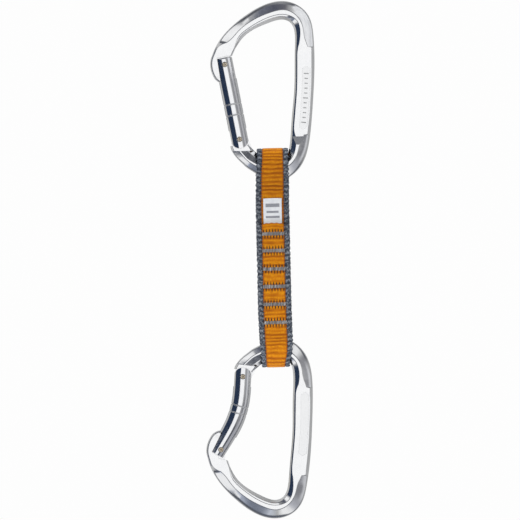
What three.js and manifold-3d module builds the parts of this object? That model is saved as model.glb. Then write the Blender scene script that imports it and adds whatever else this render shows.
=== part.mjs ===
// Climbing quickdraw: two forged aluminium D carabiners joined by a short sewn sling.
// The upper carabiner has a straight gate, the lower one a bent gate. Both frames are the same
// forging, and the lower one is turned end for end.
//
// Units are millimetres. Everything is laid out in a drawing plane first, with X to the right,
// Y up along the sling and Z towards the viewer. The outer group then turns Y up to +Z, so that in
// the finished part +X is right, +Z is up the sling and the front faces -Y.

import * as THREE from 'three';
import { mergeVertices } from 'three/addons/utils/BufferGeometryUtils.js';
import Module from 'manifold-3d';

const wasm = await Module();
wasm.setup();

// ---------------------------------------------------------------- frame dimensions

const CENTRE = { x: -8.2282, y: -0.5413 }; // the part's origin, in the drawing

// One row for each section across the forged frame, from the nose lobe over the crown, down the
// spine and round the basket to the hinge end:
// outer X, outer Y, inner X, inner Y, ridge start and ridge end measured from the inner edge,
// half thickness at the ridge, half thickness at the outer edge.
const SECTIONS = [
  [-26.56, 99.49, -24.66, 101.37, 0.90, 1.68, 2.60, 1.40],
  [-28.98, 100.11, -24.91, 102.51, 0.90, 3.52, 2.90, 1.50],
  [-31.59, 102.09, -24.99, 104.20, 0.90, 5.43, 3.20, 1.60],
  [-33.38, 105.69, -24.71, 106.46, 0.90, 7.10, 3.50, 1.73],
  [-34.14, 109.38, -24.10, 108.70, 0.90, 8.47, 3.80, 1.87],
  [-33.95, 112.99, -23.31, 110.95, 0.90, 9.33, 4.00, 2.00],
  [-32.73, 116.35, -22.53, 112.82, 0.90, 9.57, 4.20, 2.15],
  [-31.46, 119.30, -21.78, 115.01, 0.90, 9.13, 4.23, 2.30],
  [-29.92, 122.10, -20.82, 117.13, 0.90, 7.55, 4.27, 2.17],
  [-28.16, 124.73, -19.75, 119.24, 0.90, 5.84, 4.30, 2.03],
  [-26.20, 127.18, -18.54, 121.30, 1.44, 4.70, 4.32, 1.90],
  [-24.09, 129.47, -17.17, 123.29, 2.02, 4.21, 4.34, 1.80],
  [-21.85, 131.61, -15.61, 125.16, 2.22, 4.14, 4.36, 1.70],
  [-19.51, 133.61, -13.83, 126.83, 2.21, 4.22, 4.38, 1.60],
  [-17.08, 135.50, -11.88, 128.29, 2.19, 4.31, 4.40, 1.50],
  [-14.61, 137.27, -9.79, 129.56, 2.26, 4.41, 4.40, 1.50],
  [-12.11, 138.94, -7.56, 130.70, 2.43, 4.56, 4.40, 1.50],
  [-9.58, 140.49, -5.21, 131.72, 2.69, 4.74, 4.40, 1.50],
  [-7.02, 141.89, -2.77, 132.66, 2.90, 4.88, 4.40, 1.50],
  [-4.30, 143.16, -0.38, 133.52, 3.01, 4.91, 4.40, 1.50],
  [-1.31, 144.28, 1.82, 134.25, 3.02, 4.89, 4.40, 1.50],
  [1.99, 145.14, 3.87, 134.79, 3.00, 4.94, 4.40, 1.50],
  [9.21, 145.42, 7.80, 135.03, 2.99, 5.24, 4.40, 1.50],
  [12.89, 144.51, 9.43, 134.61, 3.08, 5.18, 4.40, 1.50],
  [16.46, 142.75, 10.68, 133.97, 3.27, 5.05, 4.37, 1.53],
  [19.57, 140.20, 11.73, 133.09, 3.52, 4.96, 4.34, 1.56],
  [21.89, 136.98, 12.63, 131.85, 3.68, 4.91, 4.31, 1.59],
  [23.32, 133.47, 13.32, 130.24, 3.65, 4.87, 4.29, 1.61],
  [24.04, 130.02, 13.77, 128.23, 3.45, 4.80, 4.26, 1.64],
  [24.38, 126.75, 13.98, 126.00, 3.16, 4.85, 4.23, 1.67],
  [24.57, 123.65, 14.01, 123.59, 2.80, 5.34, 4.20, 1.70],
  [24.68, 120.70, 13.93, 121.00, 2.43, 6.57, 4.10, 1.97],
  [24.75, 117.93, 13.80, 118.23, 2.26, 8.11, 4.00, 2.23],
  [24.77, 115.24, 13.68, 115.40, 2.25, 9.04, 3.90, 2.50],
  [24.75, 112.50, 13.59, 112.63, 2.28, 9.27, 3.90, 2.50],
  [24.47, 104.06, 13.38, 104.54, 2.32, 9.32, 3.90, 2.50],
  [23.95, 95.66, 13.00, 96.45, 2.41, 9.31, 3.90, 2.50],
  [23.27, 87.30, 12.21, 88.35, 2.53, 9.48, 3.90, 2.50],
  [22.49, 78.98, 11.27, 80.20, 2.67, 9.68, 3.90, 2.50],
  [21.90, 73.46, 10.76, 74.73, 2.61, 9.33, 3.90, 2.50],
  [21.54, 70.71, 10.54, 71.99, 2.75, 8.55, 3.90, 2.27],
  [21.13, 67.97, 10.29, 69.23, 3.09, 7.14, 4.00, 2.03],
  [20.62, 65.14, 10.00, 66.59, 3.48, 5.76, 4.10, 1.80],
  [19.96, 62.15, 9.65, 64.18, 3.69, 5.12, 4.20, 1.73],
  [19.06, 59.03, 9.24, 62.00, 3.66, 4.97, 4.23, 1.65],
  [17.79, 55.82, 8.68, 60.01, 3.47, 4.84, 4.26, 1.57],
  [16.05, 52.69, 7.84, 58.15, 3.23, 4.65, 4.29, 1.50],
  [13.76, 49.83, 6.62, 56.60, 2.99, 4.45, 4.31, 1.52],
  [10.94, 47.34, 5.21, 55.57, 2.85, 4.31, 4.34, 1.54],
  [7.52, 45.36, 3.91, 55.04, 2.85, 4.28, 4.37, 1.56],
  [3.67, 44.28, 2.60, 54.77, 2.95, 4.39, 4.40, 1.58],
  [-0.17, 44.40, 0.97, 54.72, 3.10, 4.57, 4.38, 1.60],
  [-3.74, 45.41, -0.91, 55.00, 3.24, 4.74, 4.37, 1.62],
  [-7.00, 46.92, -2.87, 55.66, 3.34, 4.85, 4.35, 1.64],
  [-9.97, 48.64, -4.82, 56.66, 3.50, 5.00, 4.33, 1.66],
  [-12.64, 50.39, -6.73, 58.01, 3.75, 5.35, 4.32, 1.68],
  [-15.02, 52.08, -8.55, 59.59, 3.60, 6.10, 4.30, 1.70],
  [-17.40, 54.41, -9.80, 60.74, 2.60, 7.20, 4.28, 1.90],
  [-19.72, 56.73, -11.23, 62.30, 1.50, 8.30, 4.26, 2.10],
  [-21.70, 59.14, -12.56, 63.69, 0.95, 8.75, 4.24, 2.30],
  [-23.17, 61.66, -13.38, 64.72, 0.90, 8.85, 4.22, 2.50],
  [-23.90, 64.17, -13.64, 65.52, 0.90, 8.95, 4.20, 2.60],
];
const INNER_FLAT = 1.4; // half width of the flat along the rope-bearing inner edge
const SHOULDER = { across: 0.38, rise: 0.66 }; // fractions of the way from inner edge to ridge
const RIDGE_MARGIN = 0.7; // least distance from the ridge to the outer edge
const OUTER_CHAMFER = 0.45;

// Gate coordinates: origin on the hinge rivet, +Y towards the latch rivet, +X into the carabiner.
// Angles in them are in radians, clockwise from +Y, which is the way the gate opens.
const HINGE = { x: -18.56, y: 67.95 };
const GATE_TILT = 0.17353; // the gate line leans this far to the left of the drawing's +Y
const LATCH = 43; // distance from the hinge rivet to the latch rivet
const BLADE_HALF = 1.5; // half thickness of the nose hook and of the hinge tang
const GAP = 0.3;

// The nose hook, and the part of the hinge tang below its cam, in gate coordinates
const HOOK_OUTLINE = [
  [-6.2, 34.6], [-2.0, 36.2], [1.6, 38.4], [2.4, 39.6], [2.4, 42], [3.3, 45.3],
  [3.9, 48.6], [2.8, 50.6], [-4.6, 50.4], [-7.0, 46], [-7.2, 38],
];
const TANG_FOOT = [[5.6, -4.4], [5.6, -8.6], [-3.2, -9.2], [-5.6, -5.2]];
const CAM_MAX_R = 4.7;
const OPEN = THREE.MathUtils.degToRad(30);

// Cutters reach past the metal: across the gate, and to these half depths along Z
const CUT_SPAN = 9;
const CUT_HALF = { blade: 3, swing: 6, frame: 7, gate: 8 };

// ---------------------------------------------------------------- gate dimensions

const PIN_R = 1.2;
const PIN_HALF = 5.2;
const PIN_CHAMFER = { radial: 0.35, axial: 0.3 };
const PIN_HOLE_R = 1.5;
const HOOK_HOLE_R = PIN_HOLE_R + 0.05;

const GATE_R = 5.15; // straight gate bar radius
const GATE_TOP = 46.9; // straight gate's head end, from the hinge
const GATE_BOTTOM = -5.6;
const GATE_CHAMFER = 0.7;
const HEEL_R = 5.05;
const SLOT_HALF = 1.9; // half width of the gate's slots
const TAIL_SLOT = 5.7; // bottom of the tail slot
const HEAD_SLOT = 34.3; // bottom of the head slot
const HEAD_SLOT_END = 52; // beyond the head
const BENT_LINE = [ // bent gate centreline: across, along, bar radius
  [-1.2, -5.3, 5.1], [0, 0, 5.1], [1.18, 4.9, 5.1], [2.2, 9.6, 5.1], [2.78, 13, 5.1],
  [3.12, 16.2, 5.1], [3.22, 19.4, 5.1], [3.14, 22.6, 5.1], [2.88, 25.8, 5.08],
  [2.4, 29, 5.03], [1.72, 32.4, 4.95], [0.9, 36, 4.85], [-0.1, 40, 4.75],
  [-0.98, 43.4, 4.65], [-1.72, 46.2, 4.6],
];

const BORE_R = 1.85;
const BORE_CONE = 0.8; // height of the bore's conical end
const FOLLOWER_TIP = 3.7;
const FOLLOWER_R = 1.5;
const FOLLOWER_CHAMFER = 0.3;
const FOLLOWER_HEAD = 2.9; // length of the wide head
const FOLLOWER_LENGTH = 8;
const STEM_R = 0.6;
const FOLLOWER_TRAVEL = 2.6; // millimetres per radian of gate opening
const SPRING_R = 1.12;
const SPRING_WIRE = 0.3; // wire radius
const SPRING_TURNS = 7;
const SPRING_STEPS = 9; // rings in each turn
const SPRING_END_GAP = 0.25;

// What differs between the gates. tail: angle of the tail from the gate line; sweep: radius the
// head needs about the hinge; bar: the uncut bar; room: the space it takes out of the frame.
const STRAIGHT = {
  tail: 0, boreEnd: 21, sweep: 47.5, bar: straightBar, room: straightRoom,
};
const BENT = {
  tail: 0.236, boreEnd: 17, sweep: 48.1, bar: () => bentBar(0, 20), room: () => bentBar(GAP, 24),
};

// The lower carabiner is turned half a turn about X after this swing in its own plane.
const LOWER_SWING = THREE.MathUtils.degToRad(7.979);
const LOWER_SHIFT = { x: 8.079, y: -1.212 };

// ---------------------------------------------------------------- materials

const metal = ({ color, roughness }) =>
  new THREE.MeshStandardMaterial({ color, roughness, metalness: 1 });
const cloth = (color) => new THREE.MeshStandardMaterial({ color, roughness: 0.85, metalness: 0 });

const FORGED = metal({ color: 0xc9ccd2, roughness: 0.16 });
const GATE = metal({ color: 0xc4c8d0, roughness: 0.12 });
const RIVET = metal({ color: 0xb9ad98, roughness: 0.3 });
const STEEL = metal({ color: 0x9a9ea4, roughness: 0.35 });
const WEBBING = cloth(0xcd7d16);
const THREAD = cloth(0x86868c);
const LABEL = cloth(0xe2e4ea);

// ---------------------------------------------------------------- geometry helpers

function solid(geometry) {
  const bare = geometry.index ? geometry.toNonIndexed() : geometry.clone();
  for (const name of Object.keys(bare.attributes)) {
    if (name !== 'position') bare.deleteAttribute(name);
  }
  const merged = mergeVertices(bare, 1e-4);
  return new wasm.Manifold(new wasm.Mesh({
    numProp: 3,
    vertProperties: new Float32Array(merged.attributes.position.array),
    triVerts: new Uint32Array(merged.index.array),
  }));
}

function faceted(coordinates, index) {
  const shared = new THREE.BufferGeometry();
  shared.setAttribute('position', new THREE.BufferAttribute(new Float32Array(coordinates), 3));
  shared.setIndex(new THREE.BufferAttribute(new Uint32Array(index), 1));
  const flat = shared.toNonIndexed();
  flat.computeVertexNormals();
  return flat;
}

function skin(manifold) {
  const { vertProperties, triVerts } = manifold.getMesh();
  return faceted(vertProperties, triVerts);
}

// A closed skin over a row of convex rings with equal point counts, capped at both ends.
function loft(rings) {
  const count = rings[0].length;
  const points = rings.flat();
  const index = [];
  for (let i = 0; i + 1 < rings.length; i++) {
    for (let j = 0; j < count; j++) {
      const a = i * count + j;
      const b = i * count + ((j + 1) % count);
      index.push(a, b, b + count, a, b + count, a + count);
    }
  }
  for (const [ring, reversed] of [[0, true], [rings.length - 1, false]]) {
    const centre = new THREE.Vector3();
    for (const point of rings[ring]) centre.addScaledVector(point, 1 / count);
    const hub = points.push(centre) - 1;
    for (let j = 0; j < count; j++) {
      const a = ring * count + j;
      const b = ring * count + ((j + 1) % count);
      index.push(hub, ...(reversed ? [b, a] : [a, b]));
    }
  }

  // faces must look outwards, whichever way round the rings run
  let volume = 0;
  for (let i = 0; i < index.length; i += 3) {
    const [a, b, c] = index.slice(i, i + 3).map((k) => points[k]);
    volume += a.dot(b.clone().cross(c));
  }
  if (volume < 0) {
    for (let i = 0; i < index.length; i += 3) {
      [index[i + 1], index[i + 2]] = [index[i + 2], index[i + 1]];
    }
  }
  return faceted(points.flatMap(({ x, y, z }) => [x, y, z]), index);
}

// A flat plate with the given outline, between Z = -half and +half.
function plate(outline, half) {
  const shape = new THREE.Shape(outline.map(([x, y]) => new THREE.Vector2(x, y)));
  const options = { depth: half * 2, bevelEnabled: false, curveSegments: 1 };
  return new THREE.ExtrudeGeometry(shape, options).translate(0, 0, -half);
}

function box([x0, x1], [y0, y1], [z0, z1]) {
  return new THREE.BoxGeometry(x1 - x0, y1 - y0, z1 - z0)
    .translate((x0 + x1) / 2, (y0 + y1) / 2, (z0 + z1) / 2);
}

// A bar along +Y turned from [radius, height] pairs.
function turned(profile, sides) {
  return new THREE.LatheGeometry(profile.map(([r, y]) => new THREE.Vector2(r, y)), sides);
}

// A cylinder along Z, at a distance up the gate line.
function pinCutter(along, radius, half, sides = 20) {
  return new THREE.CylinderGeometry(radius, radius, half * 2, sides)
    .rotateX(Math.PI / 2)
    .translate(0, along, 0);
}

const polar = (radius, angle) => [radius * Math.sin(angle), radius * Math.cos(angle)];

function arc(radius, from, to, steps) {
  return Array.from({ length: steps + 1 }, (_, i) =>
    polar(radius, from + ((to - from) * i) / steps));
}

function mesh(name, geometry, material) {
  const named = new THREE.Mesh(geometry, material);
  named.name = name;
  return named;
}

// ---------------------------------------------------------------- frame

const gateMatrix = new THREE.Matrix4().makeRotationZ(GATE_TILT).setPosition(HINGE.x, HINGE.y, 0);

function sectionRing([outerX, outerY, innerX, innerY, ridgeIn, ridgeOut, half, edge]) {
  const inner = new THREE.Vector2(innerX, innerY);
  const out = new THREE.Vector2(outerX, outerY).sub(inner);
  const width = out.length();
  out.normalize();
  const front = [ // distance from the inner edge, Z
    [0, INNER_FLAT],
    [ridgeIn * SHOULDER.across, INNER_FLAT + (half - INNER_FLAT) * SHOULDER.rise],
    [ridgeIn, half],
    [Math.min(ridgeOut, width - RIDGE_MARGIN), half],
    [width - OUTER_CHAMFER, edge],
    [width, edge * 0.5],
  ];
  const back = front.map(([w, z]) => [w, -z]).reverse();
  return [...front, ...back].map(([w, z]) =>
    new THREE.Vector3(inner.x + out.x * w, inner.y + out.y * w, z));
}

// The spring follower stands on the tang's cam. Going round the tang clockwise from the gate line,
// its radius grows so that the follower is pushed back evenly as the gate opens.
function camRadius(angle, tail) {
  const steps = 24;
  let radius = CAM_MAX_R;
  for (let k = 0; k <= steps; k++) {
    const opening = (OPEN * k) / steps;
    const fromAxis = angle - tail - opening;
    const reach = (FOLLOWER_TIP - GAP + FOLLOWER_TRAVEL * opening) / Math.cos(fromAxis);
    const underTip = Math.abs(reach * Math.sin(fromAxis)) < FOLLOWER_R + GAP;
    if (Math.cos(fromAxis) > 0.2 && underTip) radius = Math.min(radius, reach);
  }
  return radius;
}

// A blade that enters the gate's head slot, open on the inside for the latch rivet.
function noseHook() {
  const channel = [
    ...arc(LATCH + HOOK_HOLE_R, 0, 0.2, 4),
    ...arc(LATCH - HOOK_HOLE_R, 0, 0.2, 4).reverse(),
  ];
  return solid(plate(HOOK_OUTLINE, BLADE_HALF))
    .subtract(solid(pinCutter(LATCH, HOOK_HOLE_R, CUT_HALF.blade)))
    .subtract(solid(plate(channel, CUT_HALF.blade)));
}

function hingeTang(tail) {
  const cam = [];
  for (let degrees = -96; degrees <= 84; degrees += 6) {
    const angle = THREE.MathUtils.degToRad(degrees);
    cam.push(polar(camRadius(angle, tail), angle));
  }
  return solid(plate([...cam, ...TANG_FOOT], BLADE_HALF));
}

function frameGeometry({ room, sweep, tail }) {
  const through = CUT_HALF.frame;
  const swing = [[0, 6], ...arc(sweep, 0, 0.35, 8), [16, 40], [CUT_SPAN, 6]];
  const placed = (geometry) => solid(geometry.applyMatrix4(gateMatrix));

  // room for the closed gate, for its swing into the carabiner and for its heel
  const cutters = [
    room(),
    box([-4.2, CUT_SPAN], [0, 12], [-through, through]),
    plate(swing, CUT_HALF.swing),
    pinCutter(0, GATE_R + 0.4, through, 40),
  ];
  let body = solid(loft(SECTIONS.map(sectionRing)));
  for (const cutter of cutters) body = body.subtract(placed(cutter));

  for (const blade of [noseHook(), hingeTang(tail)]) {
    body = body.add(blade.transform(gateMatrix.toArray()));
  }
  return skin(body.subtract(placed(pinCutter(0, PIN_HOLE_R, CUT_HALF.blade))));
}

// ---------------------------------------------------------------- gates, in gate coordinates

function straightBar() {
  return turned([
    [0, GATE_BOTTOM],
    [GATE_R, GATE_BOTTOM],
    [GATE_R, GATE_TOP - GATE_CHAMFER],
    [GATE_R - GATE_CHAMFER, GATE_TOP],
    [0, GATE_TOP],
  ], 32);
}

function straightRoom() {
  const radius = GATE_R + GAP;
  return turned([[0, 6], [radius, 6], [radius, STRAIGHT.sweep], [0, STRAIGHT.sweep]], 40);
}

// The bent bar, grown by extra all round and at the head.
function bentBar(extra, sides) {
  // the room it needs starts at the hinge, where the heel turns
  const line = extra ? BENT_LINE.slice(1) : BENT_LINE;
  const last = line.length - 1;
  return loft(line.map(([x, y, barRadius], i) => {
    const before = line[Math.max(i - 1, 0)];
    const after = line[Math.min(i + 1, last)];
    const along = new THREE.Vector2(after[0] - before[0], after[1] - before[1]).normalize();
    const across = new THREE.Vector2(along.y, -along.x);
    const push = i === last ? extra : 0;
    const radius = barRadius + extra;
    return Array.from({ length: sides }, (_, k) => {
      const angle = ((k + 0.5) / sides) * Math.PI * 2;
      const side = radius * Math.cos(angle);
      return new THREE.Vector3(
        x + along.x * push + across.x * side,
        y + along.y * push + across.y * side,
        radius * Math.sin(angle),
      );
    });
  }));
}

function gateGeometry({ bar, tail, boreEnd }) {
  const through = CUT_HALF.gate;
  const wide = [-CUT_SPAN, CUT_SPAN];
  const slot = [-SLOT_HALF, SLOT_HALF];
  // heel rounded about the hinge rivet
  const heel = [
    [-CUT_SPAN, 0], [-CUT_SPAN, -CUT_SPAN], [CUT_SPAN, -CUT_SPAN], [CUT_SPAN, 0],
    ...arc(HEEL_R, Math.PI / 2, (3 * Math.PI) / 2, 18),
  ];
  const boreStart = TAIL_SLOT - 1;
  const bore = [
    [0, boreStart], [BORE_R, boreStart], [BORE_R, boreEnd], [0, boreEnd + BORE_CONE],
  ];
  const cutters = [
    plate(heel, through).rotateZ(-tail),
    box(wide, [-CUT_SPAN, TAIL_SLOT], slot).rotateZ(-tail),
    box(wide, [HEAD_SLOT, HEAD_SLOT_END], slot),
    turned(bore, 16).rotateZ(-tail),
    pinCutter(0, PIN_HOLE_R, through),
    pinCutter(LATCH, PIN_HOLE_R, through),
  ];
  return skin(cutters.reduce((gate, cutter) => gate.subtract(solid(cutter)), solid(bar())));
}

function rivetGeometry() {
  const endR = PIN_R - PIN_CHAMFER.radial;
  const shoulder = PIN_HALF - PIN_CHAMFER.axial;
  return turned([
    [0, -PIN_HALF], [endR, -PIN_HALF], [PIN_R, -shoulder],
    [PIN_R, shoulder], [endR, PIN_HALF], [0, PIN_HALF],
  ], 16).rotateX(Math.PI / 2);
}

function followerGeometry() {
  const headEnd = FOLLOWER_TIP + FOLLOWER_HEAD;
  const stemEnd = FOLLOWER_TIP + FOLLOWER_LENGTH;
  return turned([
    [0, FOLLOWER_TIP],
    [FOLLOWER_R - FOLLOWER_CHAMFER, FOLLOWER_TIP],
    [FOLLOWER_R, FOLLOWER_TIP + FOLLOWER_CHAMFER],
    [FOLLOWER_R, headEnd],
    [STEM_R, headEnd],
    [STEM_R, stemEnd],
    [0, stemEnd],
  ], 14);
}

function springGeometry(boreEnd) {
  const start = FOLLOWER_TIP + FOLLOWER_HEAD + SPRING_WIRE + SPRING_END_GAP;
  const end = boreEnd - SPRING_WIRE - SPRING_END_GAP;
  const steps = SPRING_TURNS * SPRING_STEPS;
  const rise = (end - start) / steps;
  const slope = rise / ((SPRING_R * Math.PI * 2) / SPRING_STEPS);
  const wireSides = 4;
  return loft(Array.from({ length: steps + 1 }, (_, i) => {
    const turn = (i / SPRING_STEPS) * Math.PI * 2;
    const out = new THREE.Vector3(Math.cos(turn), 0, Math.sin(turn));
    const along = new THREE.Vector3(-Math.sin(turn), slope, Math.cos(turn)).normalize();
    const up = along.cross(out).normalize();
    const centre = out.clone().multiplyScalar(SPRING_R).setY(start + rise * i);
    return Array.from({ length: wireSides }, (_, k) => {
      const angle = (k / wireSides) * Math.PI * 2;
      return centre.clone()
        .addScaledVector(out, SPRING_WIRE * Math.cos(angle))
        .addScaledVector(up, SPRING_WIRE * Math.sin(angle));
    });
  }));
}

function carabiner(prefix, kind) {
  const latchRivet = mesh(`${prefix}_latch_rivet`, rivetGeometry(), RIVET);
  latchRivet.position.y = LATCH;

  const inBore = new THREE.Group();
  inBore.rotation.z = -kind.tail;
  inBore.add(
    mesh(`${prefix}_gate_spring`, springGeometry(kind.boreEnd), STEEL),
    mesh(`${prefix}_spring_follower`, followerGeometry(), STEEL),
  );

  const onHinge = new THREE.Group();
  onHinge.position.set(HINGE.x, HINGE.y, 0);
  onHinge.rotation.z = GATE_TILT;
  onHinge.add(
    mesh(`${prefix}_gate`, gateGeometry(kind), GATE),
    mesh(`${prefix}_hinge_rivet`, rivetGeometry(), RIVET),
    latchRivet,
    inBore,
  );

  const group = new THREE.Group();
  group.add(mesh(`${prefix}_frame`, frameGeometry(kind), FORGED), onHinge);
  return group;
}

// ---------------------------------------------------------------- sling dimensions
// The webbing is one strip. Path points are [towards the viewer, up].

const WEB_T = 1.5;
const LOOP = 7.2; // half spacing of the webbing's two legs at the upper bar, to the centreline
const LOW_LOOP = 7.6; // and at the lower bar
const TOP_CENTRE = 62.0 - LOOP; // height of the upper fold's centre
const BOTTOM_CENTRE = -60.5 + LOW_LOOP;
const TOP_LEG_END = TOP_CENTRE - 3; // where the legs to the upper bar run straight
const LOW_LEG_START = -39; // where the legs to the lower bar leave the sewn middle
const PITCH = 1.75; // spacing of neighbouring layers in the sewn middle
const FREE_END_Z = 2.25; // the outer free end, lifted over the label

// The strip wanders a little to the left between its two folds, and is pinched where it passes
// through the carabiners: [height, left edge, right edge].
const EDGES = [
  [62.8, -8.85, 8.5], [56, -9.0, 8.6], [48, -9.75, 8.75], [30, -10.2, 8.5],
  [-30, -10.15, 8.55], [-46, -9.7, 8.9], [-53, -9.2, 8.5], [-56.5, -8.9, 7.5],
  [-58.6, -8.7, 7.0], [-60.6, -8.5, 6.8],
];

const TACKS = [14.3, 4.8, -5.6, -15.5, -25.5, -35.8]; // bar tack heights
const TACK_W = 12.6;
const TACK_H = 2.0;
const TACK_T = 0.4;
const TACK_LIFT = 0.15; // clearance between tack and webbing
const TACK_SHIFT = 0.05; // to the right of the strip's middle
const POST_X = 3.4; // the two posts through the webbing, from the tack's middle
const POST_W = 0.9;
const POST_SLOT_Z = [-4, 5];

const LABEL_W = 10.4;
const LABEL_T = 0.35;
const LABEL_LIFT = 0.2; // clearance between label and webbing
const LABEL_TOP = 34.6;
const LABEL_END = 12.4;

// ---------------------------------------------------------------- sling

function leg(fromZ, toZ, fromY, toY, steps) {
  return Array.from({ length: steps + 1 }, (_, i) => {
    const t = i / steps;
    const eased = t * t * (3 - 2 * t);
    return [fromZ + (toZ - fromZ) * eased, fromY + (toY - fromY) * t];
  });
}

// The inside points of a half turn: side 1 runs front to back below its centre, -1 back to front
// above it.
function fold(radius, centreY, side) {
  return Array.from({ length: 11 }, (_, i) => {
    const angle = (Math.PI * (i + 1)) / 12;
    return [side * radius * Math.cos(angle), centreY - side * radius * Math.sin(angle)];
  });
}

const frontLeg = leg(LOOP, 0, TOP_LEG_END, 18.5, 9); // from the upper bar down into the stack

// From the outer free end down the front layer, round the lower bar, up the back layer, round the
// upper bar and down the middle layer.
const webbingPath = [
  [FREE_END_Z, 20.4], [FREE_END_Z, 17], [2.2, 12.5],
  [PITCH, 8.5], [PITCH, 0], [PITCH, -20], [PITCH, -37.8],
  ...leg(PITCH, LOW_LOOP, LOW_LEG_START, BOTTOM_CENTRE, 7),
  ...fold(LOW_LOOP, BOTTOM_CENTRE, 1),
  ...leg(-LOW_LOOP, -PITCH, BOTTOM_CENTRE, LOW_LEG_START, 7),
  [-PITCH, -20], [-PITCH, 0], [-PITCH, 15.5],
  ...leg(-PITCH, -LOOP, 18, TOP_LEG_END, 9),
  [-LOOP, TOP_CENTRE],
  ...fold(LOOP, TOP_CENTRE, -1),
  [LOOP, TOP_CENTRE],
  ...frontLeg,
  [0, 8], [0, -20], [0, -39.2],
];

function webbingEdges(y) {
  let i = 1;
  while (i < EDGES.length - 1 && y < EDGES[i][0]) i++;
  const [above, below] = [EDGES[i - 1], EDGES[i]];
  const t = THREE.MathUtils.clamp((above[0] - y) / (above[0] - below[0]), 0, 1);
  return [1, 2].map((side) => above[side] + (below[side] - above[side]) * t);
}

function webbingMiddle(y) {
  const [left, right] = webbingEdges(y);
  return (left + right) / 2;
}

function labelEdges(y) {
  const middle = webbingMiddle(y);
  return [middle - LABEL_W / 2, middle + LABEL_W / 2];
}

// A strip along a path, its middle layer standing off the path by offset.
function strip(points, thickness, edgesAt, offset = 0) {
  return loft(points.map(([pathZ, pathY], i) => {
    const before = points[Math.max(i - 1, 0)];
    const after = points[Math.min(i + 1, points.length - 1)];
    const along = new THREE.Vector2(after[0] - before[0], after[1] - before[1]).normalize();
    const [left, right] = edgesAt(pathY);
    const corner = (x, off) => new THREE.Vector3(x, pathY + along.x * off, pathZ - along.y * off);
    const low = offset - thickness / 2;
    const high = offset + thickness / 2;
    return [corner(left, low), corner(left, high), corner(right, high), corner(right, low)];
  }));
}

const tackX = (y) => webbingMiddle(y) + TACK_SHIFT;
const postCentres = (y) => [-1, 1].map((side) => tackX(y) + side * POST_X);
const around = (centre, half) => [centre - half, centre + half];

// Slots through a strip for the posts of the tack at height y.
function cutPostSlots(body, y) {
  return postCentres(y).reduce((cut, x) => cut.subtract(solid(
    box(around(x, POST_W / 2 + GAP), around(y, TACK_H / 2 + GAP), POST_SLOT_Z),
  )), body);
}

function webbingGeometry() {
  return skin(TACKS.reduce(cutPostSlots, solid(strip(webbingPath, WEB_T, webbingEdges))));
}

// A bar on the front and one on the back, joined by two posts.
function tackGeometry(y, i) {
  const frontLayer = i === 0 ? FREE_END_Z : PITCH; // the top tack crosses the lifted free end
  const front = frontLayer + WEB_T / 2 + TACK_LIFT;
  const back = -(PITCH + WEB_T / 2 + TACK_LIFT);
  const width = around(tackX(y), TACK_W / 2);
  const height = around(y, TACK_H / 2);
  let tack = solid(box(width, height, [front, front + TACK_T]));
  tack = tack.add(solid(box(width, height, [back - TACK_T, back])));
  for (const x of postCentres(y)) {
    const depth = [back - TACK_T / 2, front + TACK_T / 2];
    tack = tack.add(solid(box(around(x, POST_W / 2), height, depth)));
  }
  return skin(tack);
}

// The label lies on the front leg, and its lower end is caught under the webbing's free end.
function labelGeometry() {
  // the first leg point far enough below the label's top to be kept
  const first = frontLeg.findIndex(([, y]) => y < LABEL_TOP - 0.4);
  const [[aboveZ, aboveY], [belowZ, belowY]] = frontLeg.slice(first - 1, first + 1);
  const t = (LABEL_TOP - aboveY) / (belowY - aboveY);
  const path = [
    [aboveZ + (belowZ - aboveZ) * t, LABEL_TOP],
    ...frontLeg.slice(first),
    [0, LABEL_END],
  ];
  const offset = WEB_T / 2 + LABEL_LIFT + LABEL_T / 2;
  return skin(cutPostSlots(solid(strip(path, LABEL_T, labelEdges, offset)), TACKS[0]));
}

function buildSling() {
  const group = new THREE.Group();
  group.add(mesh('sling_webbing', webbingGeometry(), WEBBING));
  TACKS.forEach((y, i) => group.add(mesh(`bar_tack_${i + 1}`, tackGeometry(y, i), THREAD)));
  group.add(mesh('sling_label', labelGeometry(), LABEL));
  return group;
}

// ---------------------------------------------------------------- the part

const upper = carabiner('upper', STRAIGHT);
const lower = carabiner('lower', BENT);
lower.rotation.set(Math.PI, 0, LOWER_SWING);
lower.position.set(LOWER_SHIFT.x, LOWER_SHIFT.y, 0);

const drawing = new THREE.Group();
drawing.rotation.x = Math.PI / 2;
drawing.position.set(-CENTRE.x, 0, -CENTRE.y);
drawing.add(upper, lower, buildSling());

const quickdraw = new THREE.Group();
quickdraw.add(drawing);

export default quickdraw;
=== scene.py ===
"""A climbing quickdraw: two carabiners, the upper with a straight gate and the lower with a
bent one, joined by a sewn sling. Blender 4.5, metres.

It hangs along Z about the frame's origin, with X to the right and its front towards -Y.
Parts are drawn in millimetres on a plane with X to the right, Y up along the sling and Z
towards the viewer; to_world takes them to the frame."""
import math

import bpy
import numpy as np
from mathutils import Matrix, Vector


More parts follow.
